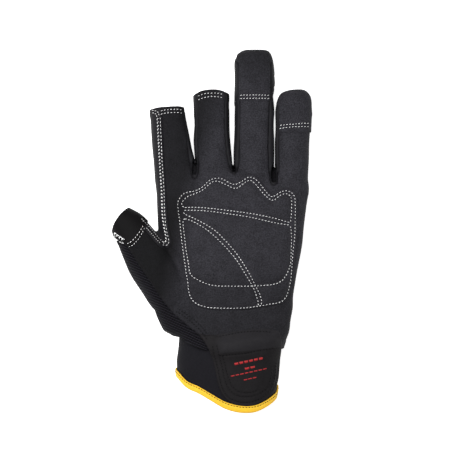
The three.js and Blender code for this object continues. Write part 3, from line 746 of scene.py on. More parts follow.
def inside_of(outline, places):
    """True where a place is inside a closed outline"""
    inside = np.zeros(len(places), bool)
    x, y = places[:, 0], places[:, 1]
    for (ax, ay), (bx, by) in zip(outline, np.roll(outline, -1, axis=0)):
        if ay == by:
            continue
        crosses = (ay > y) != (by > y)
        inside ^= crosses & (x < (bx - ax) * (y - ay) / (by - ay) + ax)
    return inside


def reach_to(line, places, limit=12.0):
    """Distance from places to a line, no further than a limit"""
    line = np.asarray(line, float)
    low, high = line.min(0) - limit, line.max(0) + limit
    near = np.nonzero(np.all((places > low) & (places < high), axis=1))[0]
    out = np.full(len(places), limit)
    start, way = line[:-1], line[1:] - line[:-1]
    size = np.maximum((way**2).sum(1), 1e-12)
    for chunk in np.array_split(near, max(1, len(near) // 8000)):
        if len(chunk) == 0:
            continue
        gap = places[chunk, None, :] - start[None]
        share = np.clip((gap * way[None]).sum(2) / size[None], 0, 1)
        rest = gap - share[..., None] * way[None]
        out[chunk] = np.minimum(np.sqrt((rest**2).sum(2)).min(1), limit)
    return out


def field_of(outline, places):
    """Distance past a closed outline, negative inside it"""
    closed = np.vstack([outline, outline[:1]])
    return reach_to(closed, places) * np.where(inside_of(outline, places), -1, 1)


class Skin:
    """A triangle skin that can be cut along fields and parted"""

    def __init__(self, points, faces, ways=None):
        self.points, self.faces = points, faces
        self.ways = ways_of(points, faces) if ways is None else ways
        self.tags = {}

    def copy(self):
        skin = Skin(self.points.copy(), self.faces.copy(), self.ways.copy())
        skin.tags = {name: tag.copy() for name, tag in self.tags.items()}
        return skin

    def cut(self, field, name=None):
        """Adds points where a field of the points is nought, and tags the faces where it is below"""
        value = np.where(np.abs(field) < CUT_SNAP, 0.0, field)
        sign = np.sign(value).astype(int)
        faces = self.faces
        corner = sign[faces]
        mixed = (corner.max(1) > 0) & (corner.min(1) < 0)
        whole = ~mixed
        new_faces, parents, low = [faces[whole]], [np.nonzero(whole)[0]], [corner[whole].min(1) < 0]
        low[0] |= corner[whole].max(1) <= 0
        if mixed.any():
            cut_faces, cut_signs = faces[mixed], corner[mixed]
            cut_parents = np.nonzero(mixed)[0]
            pairs = sides_of(cut_faces)
            crossed = sign[pairs[:, 0]] * sign[pairs[:, 1]] < 0
            keys, back = np.unique(np.sort(pairs[crossed], axis=1), axis=0, return_inverse=True)
            a, b = keys[:, 0], keys[:, 1]
            share = (value[a] / (value[a] - value[b]))[:, None]
            base = len(self.points)
            self.points = np.vstack([self.points, self.points[a] * (1 - share) + self.points[b] * share])
            way = self.ways[a] * (1 - share) + self.ways[b] * share
            self.ways = np.vstack([self.ways, way / np.linalg.norm(way, axis=1)[:, None]])
            cross_at = np.full(len(pairs), -1)
            cross_at[np.nonzero(crossed)[0]] = base + back.ravel()
            cross_at = cross_at.reshape(3, -1).T
            tris, owners, sides = [], [], []
            for face, signs, cross, owner in zip(cut_faces, cut_signs, cross_at, cut_parents):
                if 0 in signs:
                    k = int(np.nonzero(signs == 0)[0][0])
                    z, p, q = face[k], face[(k + 1) % 3], face[(k + 2) % 3]
                    m = cross[(k + 1) % 3]
                    tris += [(z, p, m), (z, m, q)]
                    sides += [signs[(k + 1) % 3] < 0, signs[(k + 2) % 3] < 0]
                    owners += [owner] * 2
                else:
                    k = int(np.nonzero(signs == -np.sign(signs.sum()))[0][0])
                    p, q, r = face[k], face[(k + 1) % 3], face[(k + 2) % 3]
                    m, n = cross[k], cross[(k + 2) % 3]
                    tris += [(p, m, n), (m, q, r), (m, r, n)]
                    sides += [signs[k] < 0, signs[k] > 0, signs[k] > 0]
                    owners += [owner] * 3
            new_faces.append(np.array(tris))
            parents.append(np.array(owners))
            low.append(np.array(sides))
        self.faces = np.vstack(new_faces)
        owner = np.concatenate(parents)
        self.tags = {key: tag[owner] for key, tag in self.tags.items()}
        if name:
            self.tags[name] = np.concatenate(low)
        return self

    def part(self, chosen):
        """The skin of the chosen faces alone"""
        faces = self.faces[chosen]
        used, back = np.unique(faces, return_inverse=True)
        piece = Skin(self.points[used], back.reshape(-1, 3), self.ways[used])
        piece.tags = {name: tag[chosen] for name, tag in self.tags.items()}
        return piece

    def largest(self):
        """The biggest connected part"""
        label = np.arange(len(self.points))
        while True:
            low = label[self.faces].min(1)
            new = label.copy()
            for k in range(3):
                np.minimum.at(new, self.faces[:, k], low)
            new = new[new]
            if (new == label).all():
                break
            label = new
        names, counts = np.unique(label[self.faces[:, 0]], return_counts=True)
        return self.part(label[self.faces[:, 0]] == names[counts.argmax()])

    def rim(self):
        """The directed edges that have one face only"""
        edges = sides_of(self.faces)
        keys = np.sort(edges, axis=1)
        _, back, counts = np.unique(keys, axis=0, return_inverse=True, return_counts=True)
        return edges[counts[back.ravel()] == 1]

    def finer(self):
        """The same skin with every triangle split in four"""
        edges = edges_of(self.faces)
        count = len(self.points)
        code = edges[:, 0] * count + edges[:, 1]
        mid = 0.5 * (self.points[edges[:, 0]] + self.points[edges[:, 1]])
        way = self.ways[edges[:, 0]] + self.ways[edges[:, 1]]
        way /= np.linalg.norm(way, axis=1)[:, None]

        def between(p, q):
            low, high = np.minimum(p, q), np.maximum(p, q)
            return count + np.searchsorted(code, low * count + high)

        a, b, c = self.faces.T
        ab, bc, ca = between(a, b), between(b, c), between(c, a)
        faces = np.vstack(
            [np.column_stack(t) for t in ((a, ab, ca), (ab, b, bc), (ca, bc, c), (ab, bc, ca))]
        )
        return Skin(np.vstack([self.points, mid]), faces, np.vstack([self.ways, way]))


def thick(skin, outer, inner, bulge=0.0):
    """A closed solid between two heights over a skin, with its rim rounded outwards by a bulge"""
    count = len(skin.points)
    top = skin.points + skin.ways * np.reshape(outer, (-1, 1))
    bottom = skin.points + skin.ways * np.reshape(inner, (-1, 1))
    rim = skin.rim()
    bulge = np.broadcast_to(np.asarray(bulge, float), (count,))
    out = np.zeros_like(skin.points)
    away = np.cross(skin.points[rim[:, 1]] - skin.points[rim[:, 0]], skin.ways[rim[:, 0]])
    for axis in range(3):
        out[:, axis] += np.bincount(rim[:, 0], away[:, axis], count)
        out[:, axis] += np.bincount(rim[:, 1], away[:, axis], count)
    size = np.linalg.norm(out, axis=1)
    on_rim = np.unique(rim)
    out[on_rim] /= np.maximum(size[on_rim], 1e-9)[:, None]
    points, faces = [top, bottom], [skin.faces, skin.faces[:, ::-1] + count]
    where = np.full(count, -1)
    where[on_rim] = np.arange(len(on_rim))
    rings, last = [rim], 2 * count
    for share in RIM_SHARES:
        height = bottom[on_rim] * share + top[on_rim] * (1 - share)
        points.append(height + out[on_rim] * (bulge[on_rim] * math.sin(share * math.pi))[:, None])
        rings.append(last + where[rim])
        last += len(on_rim)
    rings.append(rim + count)
    for upper, lower in zip(rings[:-1], rings[1:]):
        faces.append(np.column_stack([upper[:, 1], upper[:, 0], lower[:, 0]]))
        faces.append(np.column_stack([upper[:, 1], lower[:, 0], lower[:, 1]]))
    return np.vstack(points), np.vstack(faces)


# The skin of the whole glove, slightly uneven as worn cloth is
skin_points, skin_faces = joined_skin(
    [
        palm_tube(), thumb_tube(), *(finger_tube(name) for name in FINGERS), *map(web_tube, WEBS),
        cuff_tube(0.235, -0.03),
    ]
)
skin_points = relaxed(skin_points, skin_faces, [SMOOTH_OUT, SMOOTH_BACK] * SMOOTHING)
for rows, half in zip(GAPS, GAP_HALVES):
    rows = np.array(rows)[::-1]
    places = seen(rows[:, :2])
    middle = np.interp(skin_points[:, 1], places[:, 1], places[:, 0])
    share = np.interp(skin_points[:, 1], places[:, 1], rows[:, 2])
    share *= smooth_step(skin_points[:, 1], places[0, 1] - 4, places[0, 1])
    off = skin_points[:, 0] - middle
    near = 1 - smooth_step(np.abs(off), half, half + GAP_FADE)
    skin_points[:, 0] = middle + off * (1 - share * near)
chance = np.random.default_rng(SEED)
waves = chance.normal(size=(WAVES, 3))
waves *= (2 * math.pi / chance.uniform(*WAVE_LENGTHS, WAVES) / np.linalg.norm(waves, axis=1))[:, None]
starts = chance.uniform(0, 2 * math.pi, WAVES)


def unevenness(points):
    return np.sin(points @ waves.T + starts).sum(1) * WAVE_HEIGHT


def fold_depth(points, ways):
    """How deep the soft folds are on the upper side"""
    depth = np.zeros(len(points))
    for line, deep, wide in FOLDS:
        depth += deep * bell(reach_to(curve(seen(line)), points[:, :2]), wide)
    return depth * np.clip(ways[:, 2] * 1.5, 0, 1)


# The step from the hand to the cuff is eased under the tongue
at_wrist = smooth_step(along(0.215) - skin_points[:, 1], 0, 5) * smooth_step(skin_points[:, 2], 20, 28)
at_wrist *= smooth_step(skin_points[:, 1], along(0.05), along(0.1))
skin_points = relaxed(skin_points, skin_faces, [at_wrist[:, None] * SMOOTH_OUT] * WRIST_ROUNDS)
skin_ways = ways_of(skin_points, skin_faces)
lift = unevenness(skin_points) - fold_depth(skin_points, skin_ways)
skin_points = skin_points + skin_ways * lift[:, None]
skin_points[:, 2] = settled(skin_points[:, 2], 0.35) - 0.05
body = Skin(skin_points, skin_faces)

FINGER_HEMS = {"index": INDEX_HEM, "middle": MIDDLE_HEM}


def finger_hem(name, points):
    """How far points are past a finger's hem"""
    at = finger_at(name, 1)
    line = curve(seen(FINGER_HEMS[name]))
    drop = 2 * HEM_SLANT * np.clip((at["z"] - points[:, 2]) / at["deep"], 0, 1)
    past = points[:, 1] - np.interp(points[:, 0], line[:, 0], line[:, 1]) + drop
    return np.minimum(past, HEM_REACH - np.abs(points[:, 0] - at["x"]))


def thumb_frame(points):
    """Places along the thumb and across it"""
    rest = points[:, :2] - thumb_root
    return rest @ THUMB_ALONG, rest @ THUMB_ACROSS


def thumb_hem(points):
    """How far points are past the thumb's hem"""
    reach, side = thumb_frame(points)
    line = curve(THUMB_HEM)
    below = THUMB_HEIGHT * 1.1 - points[:, 2]
    drop = 2 * HEM_SLANT * np.clip(below / (THUMB_DEPTH * 0.32), 0, 1)
    past = reach - np.interp(side, line[:, 0], line[:, 1]) + drop
    return np.minimum.reduce([past, reach - 40, 38 - side])


wrist_line = curve(placed(WRIST_EDGE))
past_wrist = np.vstack([wrist_line, [(across(0.7), -GLOVE_LENGTH), (across(-0.6), -GLOVE_LENGTH)]])

body.cut(finger_hem("index", body.points), "index_kept")
body.cut(finger_hem("middle", body.points), "middle_kept")
body.cut(thumb_hem(body.points), "thumb_kept")
whole = body.part(body.tags["index_kept"] & body.tags["middle_kept"] & body.tags["thumb_kept"]).largest()
hand = whole.copy().cut(-field_of(past_wrist, whole.points[:, :2]), "hand")
hand = hand.part(hand.tags["hand"]).largest()


def strip_field(outline, points):
    """Distance past a strip's edge, narrowed where the strip runs up a closed fingertip"""
    (parting, ring_end), (_, little_end) = seen(STRIP_ENDS)
    ahead = np.where(points[:, 0] > parting, little_end, ring_end) - points[:, 1]
    narrow = np.abs(points[:, 2] - STRIP_HEIGHT) - STRIP_END_HALF - STRIP_TAPER * ahead
    return np.maximum(field_of(outline, points[:, :2]), narrow)


for strip, points in STRIPS.items():
    outline = seen(points)
    hand.cut(strip_field(outline, hand.points), strip)
    for side in (-0.5, 0.5):
        hand.cut(strip_field(outline, hand.points) + side)
knit_line = curve(placed(KNIT_LINE), 5)
knit_outline = np.vstack([knit_line, [(-PALM_WIDTH, -GLOVE_LENGTH), (-PALM_WIDTH, knit_line[0][1])]])
hand.cut(hand.points[:, 2] - SEAM_HEIGHT, "low")
hand.cut(field_of(knit_outline, hand.points[:, :2]), "knit")
pocket_outlines = []
for rows in POCKETS:
    x, y, half = np.array(rows).T
    left, right = (seen(np.column_stack([x + side * half, y])) for side in (-1, 1))
    pocket_outlines.append(np.vstack([left, right[::-1]]))
for outline in pocket_outlines:
    for side in (-0.2, 0.7):
        hand.cut(field_of(outline, hand.points[:, :2]) + side)
label = np.where(hand.tags["low"] | hand.tags["knit"], 1, 0)
for number, strip in enumerate(STRIPS, 2):
    label[hand.tags[strip]] = number

# Seams: the points where two panels meet, sunk between them
edges = np.sort(sides_of(hand.faces), axis=1)
order = np.lexsort((edges[:, 1], edges[:, 0]))
twice = np.all(edges[order][1:] == edges[order][:-1], axis=1)
labels = np.tile(label, 3)[order]
seam_edges = edges[order][1:][twice & (labels[1:] != labels[:-1])]


def nearest_gap(targets, points):
    """Distance from points to the nearest of some targets"""
    tree = KDTree(len(targets))
    for i, target in enumerate(targets):
        tree.insert(target, i)
    tree.balance()
    return np.array([tree.find(point)[2] for point in points])


seam_gap = nearest_gap(hand.points[np.unique(seam_edges)], hand.points)
groove = GROOVE_DEPTH * bell(seam_gap, GROOVE_WIDTH)


def hem_reach(points):
    """Distance in from the nearest hem or lower edge"""
    past = np.maximum.reduce([
        finger_hem("index", points), finger_hem("middle", points), thumb_hem(points),
        -reach_to(wrist_line, points[:, :2]),
    ])
    return -past


def pocket_depth(points, ways):
    """How deep the strips between the fingers are folded in at their bottoms"""
    depth = np.zeros(len(points))
    for outline in pocket_outlines:
        depth = np.maximum(depth, POCKET_DEPTH * smooth_step(-field_of(outline, points[:, :2]), -0.2, 0.7))
    return depth * smooth_step(ways[:, 2], -0.1, 0.2)


hem_gap = hem_reach(hand.points)
lip = LIP_RISE / (1 + np.exp((hem_gap - LIP_REACH) * 3))
knit_rows_gap = np.minimum.reduce([reach_to(curve(seen(row)), hand.points[:, :2]) for row in KNIT_ROWS])
knit_gap = reach_to(knit_line, hand.points[:, :2])
tucked = KNIT_TUCK * bell(knit_gap, TUCK_WIDTH) * inside_of(knit_outline, hand.points[:, :2])
tucked *= smooth_step(hand.ways[:, 2], 0.15, 0.6)
sewn = KNIT_SINK * bell(knit_rows_gap, 0.7) * (hand.ways[:, 2] > 0.2)
hand_height = lip - groove - sewn - tucked
hand.points[:, 2] -= pocket_depth(hand.points, hand.ways)


def srgb(red, green, blue):
    turn = lambda c: c / 12.92 if c <= 0.04045 else ((c + 0.055) / 1.055) ** 2.4
    return (turn(red), turn(green), turn(blue), 1.0)


class Value:
    """A shader value that can be reckoned with"""

    def __init__(self, look, socket):
        self.look, self.socket = look, socket

    def __add__(self, other):
        return self.look.maths("ADD", self, other)

    def __sub__(self, other):
        return self.look.maths("SUBTRACT", self, other)

    def __rsub__(self, other):
        return self.look.maths("SUBTRACT", other, self)

    def __mul__(self, other):
        return self.look.maths("MULTIPLY", self, other)

    __radd__ = __add__
    __rmul__ = __mul__


class Look:
    """A material worked out from the place on the glove in millimetres"""

    def __init__(self, name, colour, roughness, specular=0.3):
        self.material = bpy.data.materials.new(name)
        self.material.use_nodes = True
        self.tree = self.material.node_tree
        self.tree.nodes.clear()
        self.shader = self.node("ShaderNodeBsdfPrincipled", {}, {
            "Base Color": colour, "Roughness": roughness, "Specular IOR Level": specular,
        })
        output = self.node("ShaderNodeOutputMaterial", {}, {})
        self.tree.links.new(self.shader.outputs["BSDF"], output.inputs["Surface"])
        where = self.node("ShaderNodeTexCoord", {}, {}).outputs["Object"]
        scaled = self.node("ShaderNodeVectorMath", {"operation": "SCALE"}, {0: where, "Scale": 1 / MM})
        self.place = scaled.outputs["Vector"]

    def node(self, kind, settings, inputs):
        made = self.tree.nodes.new(kind)
        for key, value in settings.items():
            setattr(made, key, value)
        for key, value in inputs.items():
            if isinstance(value, Value):
                value = value.socket
            if isinstance(value, bpy.types.NodeSocket):
                self.tree.links.new(value, made.inputs[key])
            else:
                made.inputs[key].default_value = value
        return made

    def maths(self, operation, *values):
        made = self.node("ShaderNodeMath", {"operation": operation}, dict(enumerate(values)))
        return Value(self, made.outputs[0])

    def noise(self, size, detail=3.0, roughness=0.5):
        made = self.node("ShaderNodeTexNoise", {}, {
            "Vector": self.place, "Scale": 1 / size, "Detail": detail, "Roughness": roughness,
        })
        return Value(self, made.outputs[0])

    def cells(self, size):
        made = self.node("ShaderNodeTexVoronoi", {}, {"Vector": self.place, "Scale": 1 / size})
        return Value(self, made.outputs["Distance"])

    def axis(self, number):
        parts = self.node("ShaderNodeSeparateXYZ", {}, {"Vector": self.place})
        return Value(self, parts.outputs[number])

    def ramp(self, value, low, high):
        """From 0 to 1 as a value goes from low to high"""
        made = self.node("ShaderNodeMapRange", {"interpolation_type": "SMOOTHSTEP"}, {
            "Value": value, "From Min": low, "From Max": high,
        })
        return Value(self, made.outputs["Result"])

    def stripes(self, direction, pitch, warp=0.0):
        """From 0 to 1 across stripes of a pitch, along a direction"""
        made = self.node("ShaderNodeVectorMath", {"operation": "DOT_PRODUCT"}, {0: self.place, 1: direction})
        way = Value(self, made.outputs["Value"])
        if warp:
            way = way + self.noise(6.0, 2.0) * warp
        return self.maths("SINE", way * (2 * math.pi / pitch)) * 0.5 + 0.5

    def mixed(self, share, first, second):
        made = self.node("ShaderNodeMix", {"data_type": "RGBA"}, {0: share, 6: first, 7: second})
        return made.outputs[2]

    def colour(self, share, first, second):
        self.tree.links.new(self.mixed(share, first, second), self.shader.inputs["Base Color"])

    def bump(self, height, distance):
        made = self.node("ShaderNodeBump", {}, {"Height": height, "Distance": distance * MM, "Strength": 1.0})
        self.tree.links.new(made.outputs["Normal"], self.shader.inputs["Normal"])


def suede_look():
    """Mottled nap, with painted shade darkening it towards the thumb's side, the cuff and the fingertips"""
    look = Look("suede", srgb(0.16, 0.158, 0.175), 0.88, 0.15)
    mottle = look.noise(8.0, 2.0, 0.5) * 0.15 + look.noise(0.8, 3.0, 0.75) * 0.85
    nap = look.mixed((mottle - 0.375) * 4.0, srgb(0.092, 0.09, 0.103), srgb(0.2, 0.197, 0.218))
    # Painted shade: darker towards the thumb's side, with the upper fingers kept lighter
    away = look.axis(0) - look.axis(1) * 0.2 + look.noise(14.0, 2.0) * 8 - 4
    away = away - look.ramp(look.axis(1), 20.0, 80.0) * 5
    # Painted shade: darker towards the cuff and the fingertips
    ends = look.ramp(look.axis(1), -78.0, -5.0) * 0.48 + 0.52 - look.ramp(look.axis(1), 86.0, 126.0) * 0.45
    least_under_painted_shade = look.ramp(look.axis(1), 5.0, 40.0) * 0.17 + 0.15
    # How much of the nap shows through the painted shade, the rest mixed towards near-black
    share = (look.ramp(away, -30.0, -11.0) * (1 - least_under_painted_shade) + least_under_painted_shade) * ends
    look.colour(share, srgb(0.02, 0.02, 0.021), nap)
    look.bump(look.noise(0.8, 4.0, 0.7) + look.cells(1.1) * 0.4, 0.4)
    return look


def knit_look():
    look = Look("ribbed_knit", srgb(0.12, 0.118, 0.135), 0.85, 0.12)
    ribs = look.stripes((0.38, 0.92, 0.0), 1.6, 0.25)
    # Painted shade: the colour goes near-black in the valleys between the ribs, with a little random tone
    # from the noise
    look.colour(ribs * 0.9 + look.noise(0.5, 2.0) * 0.1, srgb(0.003, 0.003, 0.005), srgb(0.112, 0.106, 0.13))
    look.bump(ribs, 0.75)
    return look


def stretch_look():
    look = Look("stretch_cloth", srgb(0.08, 0.078, 0.09), 0.68, 0.16)
    look.colour(look.noise(2.5, 4.0), srgb(0.055, 0.054, 0.064), srgb(0.1, 0.097, 0.113))
    look.bump(look.stripes((0.0, 1.0, 0.0), 0.5) * look.stripes((1.0, 0.0, 0.4), 0.5), 0.06)
    return look


def leather_look():
    """Grained leather, with painted shade darkening it on the thumb, and lighter on the band at the tongue's
    root
    """
    look = Look("smooth_leather", srgb(0.08, 0.077, 0.083), 0.72, 0.09)
    grain = look.noise(3.0, 4.0) * 0.5 + look.noise(0.9, 3.0, 0.7) * 0.5
    plain = look.mixed(grain, srgb(0.06, 0.056, 0.06), srgb(0.12, 0.113, 0.12))
    # Painted shade: the leather is mixed towards near-black on the thumb, outside the tongue
    outside_thumb_shade = look.ramp(look.axis(0), -48.0, -30.0) * 0.75 + 0.25
    plain = look.mixed(outside_thumb_shade, srgb(0.02, 0.019, 0.021), plain)
    band = look.ramp(look.axis(1) - look.axis(0) * 0.085, -84.8, -83.2)
    band = band * look.ramp(look.axis(0), 1.0, 9.0) * (1 - look.ramp(look.axis(1), -40.0, -20.0))
    flexed = look.mixed(grain, srgb(0.1, 0.096, 0.102), srgb(0.16, 0.157, 0.17))
    look.colour(band * 0.7, plain, flexed)
    look.bump(look.cells(0.9) + look.noise(0.4, 2.0) * 0.5, 0.12)
    return look


def cuff_look():
    look = Look("cuff_neoprene", srgb(0.075, 0.073, 0.09), 0.8, 0.12)
    look.colour(look.noise(1.2, 4.0), srgb(0.045, 0.043, 0.058), srgb(0.085, 0.082, 0.102))
    look.bump(look.stripes((0.7, 0.7, 0.0), 0.8) * look.stripes((0.7, -0.7, 0.0), 0.8), 0.1)
    return look


def tape_look():
    look = Look("yellow_tape", srgb(1.0, 0.84, 0.2), 0.7)
    look.colour(look.noise(1.5, 3.0), srgb(0.9, 0.69, 0.13), srgb(0.93, 0.76, 0.22))
    look.bump(look.stripes((1.0, 0.3, 0.0), 0.6), 0.1)
    return look


def thread_look(name, colour, specular):
    look = Look(name, colour, 0.6, specular)
    look.bump(look.stripes((0.7, 0.7, 0.2), 0.35), 0.05)
    return look


looks = {
    "suede": suede_look(),
    "knit": knit_look(),
    "stretch": stretch_look(),
    "leather": leather_look(),
    "cuff": cuff_look(),
    "tape": tape_look(),
    "white_thread": thread_look("white_thread", srgb(1.0, 1.0, 1.0), 0.5),
    "black_thread": thread_look("black_thread", srgb(0.012, 0.012, 0.014), 0.1),
    "print": Look("red_print", srgb(0.62, 0.13, 0.14), 0.6),
}


def linked(name, data):
    """An object in the scene"""
    made = bpy.data.objects.new(name, data)
    bpy.context.scene.collection.objects.link(made)
    return made


def add_piece(name, points, faces, look):
    """A piece of the glove as a smooth mesh on the root body"""
    mesh = mesh_of(name, points, faces)
    mesh.shade_smooth()
    mesh.materials.append(looks[look].material)
    piece = linked(name, mesh)
    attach(piece, "root")
    return piece


# Finished panels and layers, which the stitches lie on
surfaces = []


def add_panel(node, points, faces, look, slot):
    """A sewn piece in place of one of the part's solids"""
    piece = add_piece(node + "_sewn", points, faces, look)
    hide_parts(node)
    surfaces.append((points, faces))
    return piece


# Hand panels and strips
PANELS = [
    ("palm_panel", "suede", "palm_suede"),
    ("back_panel", "knit", "ribbed_knit"),
    ("fourchette_index_middle", "stretch", "stretch_cloth"),
    ("fourchette_middle_ring", "stretch", "stretch_cloth"),
    ("fourchette_ring_little", "stretch", "stretch_cloth"),
    ("thumb_index_strip", "stretch", "stretch_cloth"),
]
for number, (name, look, slot) in enumerate(PANELS):
    chosen = label == number
    used = np.unique(hand.faces[chosen])
    panel = hand.part(chosen)
    at_hem = hem_gap[used] < 0.3
    inner = np.minimum(-WALL, hand_height[used] - LEAST_WALL)
    add_panel(name, *thick(panel, hand_height[used], inner, np.where(at_hem, HEM_BULGE, 0.0)), look, slot)


def overlay(field, wall, height=None):
    """A layer over the skin where a field is negative, and how far its rounded top rises"""
    layer = whole.copy().cut(field(whole.points), "in")
    layer = layer.part(layer.tags["in"]).largest()
    for depth in LAYER_ROUNDS:
        layer.cut(field(layer.points) + depth)
    layer = layer.finer()
    depth = np.clip(-field(layer.points) / LAYER_EDGE, 0, 1)
    rise = LAYER_FLOOR + LAYER_LIFT + wall * np.sqrt(1 - (1 - depth) ** 2)
    if height is not None:
        rise = rise + height(layer.points) * depth
    return layer, rise


def add_layer(node, layer, rise, look, slot, bulge=0.0):
    """A sewn layer, from just over the skin up to its rise"""
    under = np.full(len(rise), LAYER_FLOOR)
    return add_panel(node, *thick(layer, rise, under, bulge), look, slot)


# The padded patch
patch_row = curve(seen(PATCH_ROW), 4, True)
patch_lines = [np.vstack([patch_row, patch_row[:1]])] + [curve(seen(row), 4) for row in PATCH_ROWS]


def patch_field(points):
    return np.maximum(field_of(patch_row, points[:, :2]) - PATCH_MARGIN, SEAM_HEIGHT - points[:, 2])


def stitch_gap(lines, points):
    """Distance to the nearest of some lines"""
    return np.minimum.reduce([reach_to(line, points[:, :2]) for line in lines])


def patch_puff(points):
    """Padding between the rows of stitches, which sink it"""
    gap = stitch_gap(patch_lines, points)
    inner = smooth_step(-field_of(patch_row, points[:, :2]), 0, 0.6)
    return inner * PADDING * (1 - bell(gap, PATCH_SPREAD)) - ROW_SINK * bell(gap, 0.55)


patch = add_layer("palm_patch", *overlay(patch_field, PATCH_WALL, patch_puff), "suede", "palm_suede")

# Fingertip patches, which widen and thin out round the fingertips
tip_lines = [curve(seen(row), 4) for row in TIP_ROWS]


def tip_sink(points):
    return TIP_SINK * bell(stitch_gap(tip_lines, points), 0.5)


for name, (left, right, start, wraps) in (("ring_tip_patch", RING_PATCH), ("little_tip_patch", LITTLE_PATCH)):
    (left, start), (right, _) = seen([(left, start), (right, start)])

    def tip_field(points, left=left, right=right, start=start, wraps=wraps):
        wrap = TIP_WRAP * smooth_step(points[:, 1], start + wraps[0], start + wraps[1])
        return np.maximum.reduce([
            left - wrap - points[:, 0], points[:, 0] - right - wrap,
            start - points[:, 1], SEAM_HEIGHT + 0.4 - points[:, 2],
        ])

    layer, rise = overlay(tip_field, TIP_WALL, tip_sink)
    thinned = smooth_step(layer.points[:, 1], start + wraps[0] - 6, start + wraps[0] + 2)
    rise = rise * (1 - thinned) + 0.12 * thinned
    add_layer(name, layer, rise, "suede", "palm_suede")

# The sleeve of leather round the thumb's end
cap_line = curve(placed(THUMB_CAP_LINE), 5)
cap_outline = np.vstack([
    cap_line, [(-PALM_WIDTH, cap_line[-1][1]), (-PALM_WIDTH, cap_line[0][1] + THUMB_WIDTH),
    (cap_line[0][0], cap_line[0][1] + THUMB_WIDTH)],
])


def cap_field(points):
    return field_of(cap_outline, points[:, :2])


layer, rise = overlay(cap_field, CAP_WALL)
bulge = np.where(np.abs(thumb_hem(layer.points)) < 0.4, HEM_BULGE, 0.0)
add_layer("thumb_cap", layer, rise, "leather", "smooth_leather", bulge)

# The tongue over the cuff, with a padded band across its root
tab_outline = curve(seen(TAB_EDGE), 4, True)
flex_lines = [curve(seen(FLEX_UPPER), 4), curve(seen(FLEX_LOWER), 4)]
flex_outline = np.vstack([
    flex_lines[0][:1] - FLEX_PAST, flex_lines[0], flex_lines[0][-1:] + FLEX_PAST,
    flex_lines[1][-1:] + FLEX_PAST, flex_lines[1][::-1], flex_lines[1][:1] - FLEX_PAST,
])
tab_lines = [curve(seen(row), 4) for row in TAB_ROWS] + flex_lines


def tab_field(points):
    return np.maximum(field_of(tab_outline, points[:, :2]), TAB_FLOOR - points[:, 2])


def tab_puff(points):
    """Padding in the band at the root, with the rows of stitches sunk"""
    upper_gap = reach_to(flex_lines[0], points[:, :2])
    puff = PADDING * (1 - bell(stitch_gap(flex_lines, points), FLEX_SPREAD))
    puff *= smooth_step(-field_of(tab_outline, points[:, :2]), 1.0, 7.0)
    puff *= inside_of(flex_outline, points[:, :2]) * smooth_step(points[:, 0], 2.0, 10.0)
    return puff - ROW_SINK * bell(stitch_gap(tab_lines, points), 0.6) - 0.2 * bell(upper_gap, 2.2)


add_layer("wrist_tab", *overlay(tab_field, TAB_WALL, tab_puff), "leather", "smooth_leather")

# The cuff, a thick tube with its lower edge dipping on the palm side, and the tape folded over it
cuff_turns = around(CUFF_TURNS)
edge_line = curve(CUFF_EDGE, 6)
edge_start = along(0) + CUFF_DIP


def cuff_edge_at(x, upper):
    """Where the cuff's lower edge is along the glove"""
    share = (x - CUFF_WIDTH * CUFF_LEFT) / CUFF_WIDTH
    dipping = edge_start - CUFF_DIP * np.interp(share, edge_line[:, 0], edge_line[:, 1])
    straight = edge_start - CUFF_DIP * CUFF_EDGE[-1][1] * share
    return dipping * upper + straight * (1 - upper)


def cuff_point(turns, y, grown=0.0):
    """Points on the cuff's outer surface, grown by an offset"""
    middle, half, floor, top = cuff_section(y)
    x, z = round_section(turns, half + grown, (top - floor) / 2 + grown, TUBE_SQUARENESS)
    return np.column_stack([middle + x, y, (floor + top) / 2 + z])


upper_share = smooth_step(np.sin(cuff_turns), -0.12, 0.12)
edge_y = np.full(CUFF_TURNS, edge_start - CUFF_DIP / 2)
for _ in range(6):
    edge_y = cuff_edge_at(cuff_point(cuff_turns, edge_y)[:, 0], upper_share)


def cuff_surface(grown, share):
    """A ring of the cuff at a share of the way from its edge to its top"""
    y = edge_y + share * (along(CUFF_TOP) - edge_y)
    ring = cuff_point(cuff_turns, y, grown)
    wave = unevenness(ring)[:, None] * 0.8
    ring += np.column_stack([np.cos(cuff_turns), np.zeros(CUFF_TURNS), np.sin(cuff_turns)]) * wave
    floor = CUFF_FLOOR - grown
    ring[:, 2] = floor + settled(ring[:, 2] - floor, 0.3)
    return ring


def grid_faces(rings):
    """Faces between rings round the cuff, the last of which joins the first"""
    i = np.arange(CUFF_TURNS)
    j = (i + 1) % CUFF_TURNS
    faces = []
    for row in range(rings):
        a, b = row * CUFF_TURNS, (row + 1) % rings * CUFF_TURNS
        faces += [np.column_stack([a + i, a + j, b + j]), np.column_stack([a + i, b + j, b + i])]
    return np.vstack(faces)


shares = np.linspace(0.012, 1, 70)
rings = [cuff_surface(0, share) for share in shares]
rings += [cuff_surface(-CUFF_WALL, share) for share in shares[::-1]]
add_panel("cuff", np.vstack(rings), grid_faces(len(rings))[:, ::-1], "cuff", "cuff_neoprene")

# At each point of the edge: the way in along the cuff's wall and the way out of it
edge_ring = cuff_surface(-CUFF_WALL / 2, 0)
inward = cuff_surface(-CUFF_WALL / 2, BINDING_HEIGHT / 30) - edge_ring
inward /= np.linalg.norm(inward, axis=1)[:, None]
round_the_edge = np.roll(edge_ring, -1, axis=0) - np.roll(edge_ring, 1, axis=0)
outward = np.cross(round_the_edge, inward)
outward /= np.linalg.norm(outward, axis=1)[:, None]
middle_of_edge = edge_ring.mean(0)
outward *= np.sign(((edge_ring - middle_of_edge) * outward).sum(1).mean())


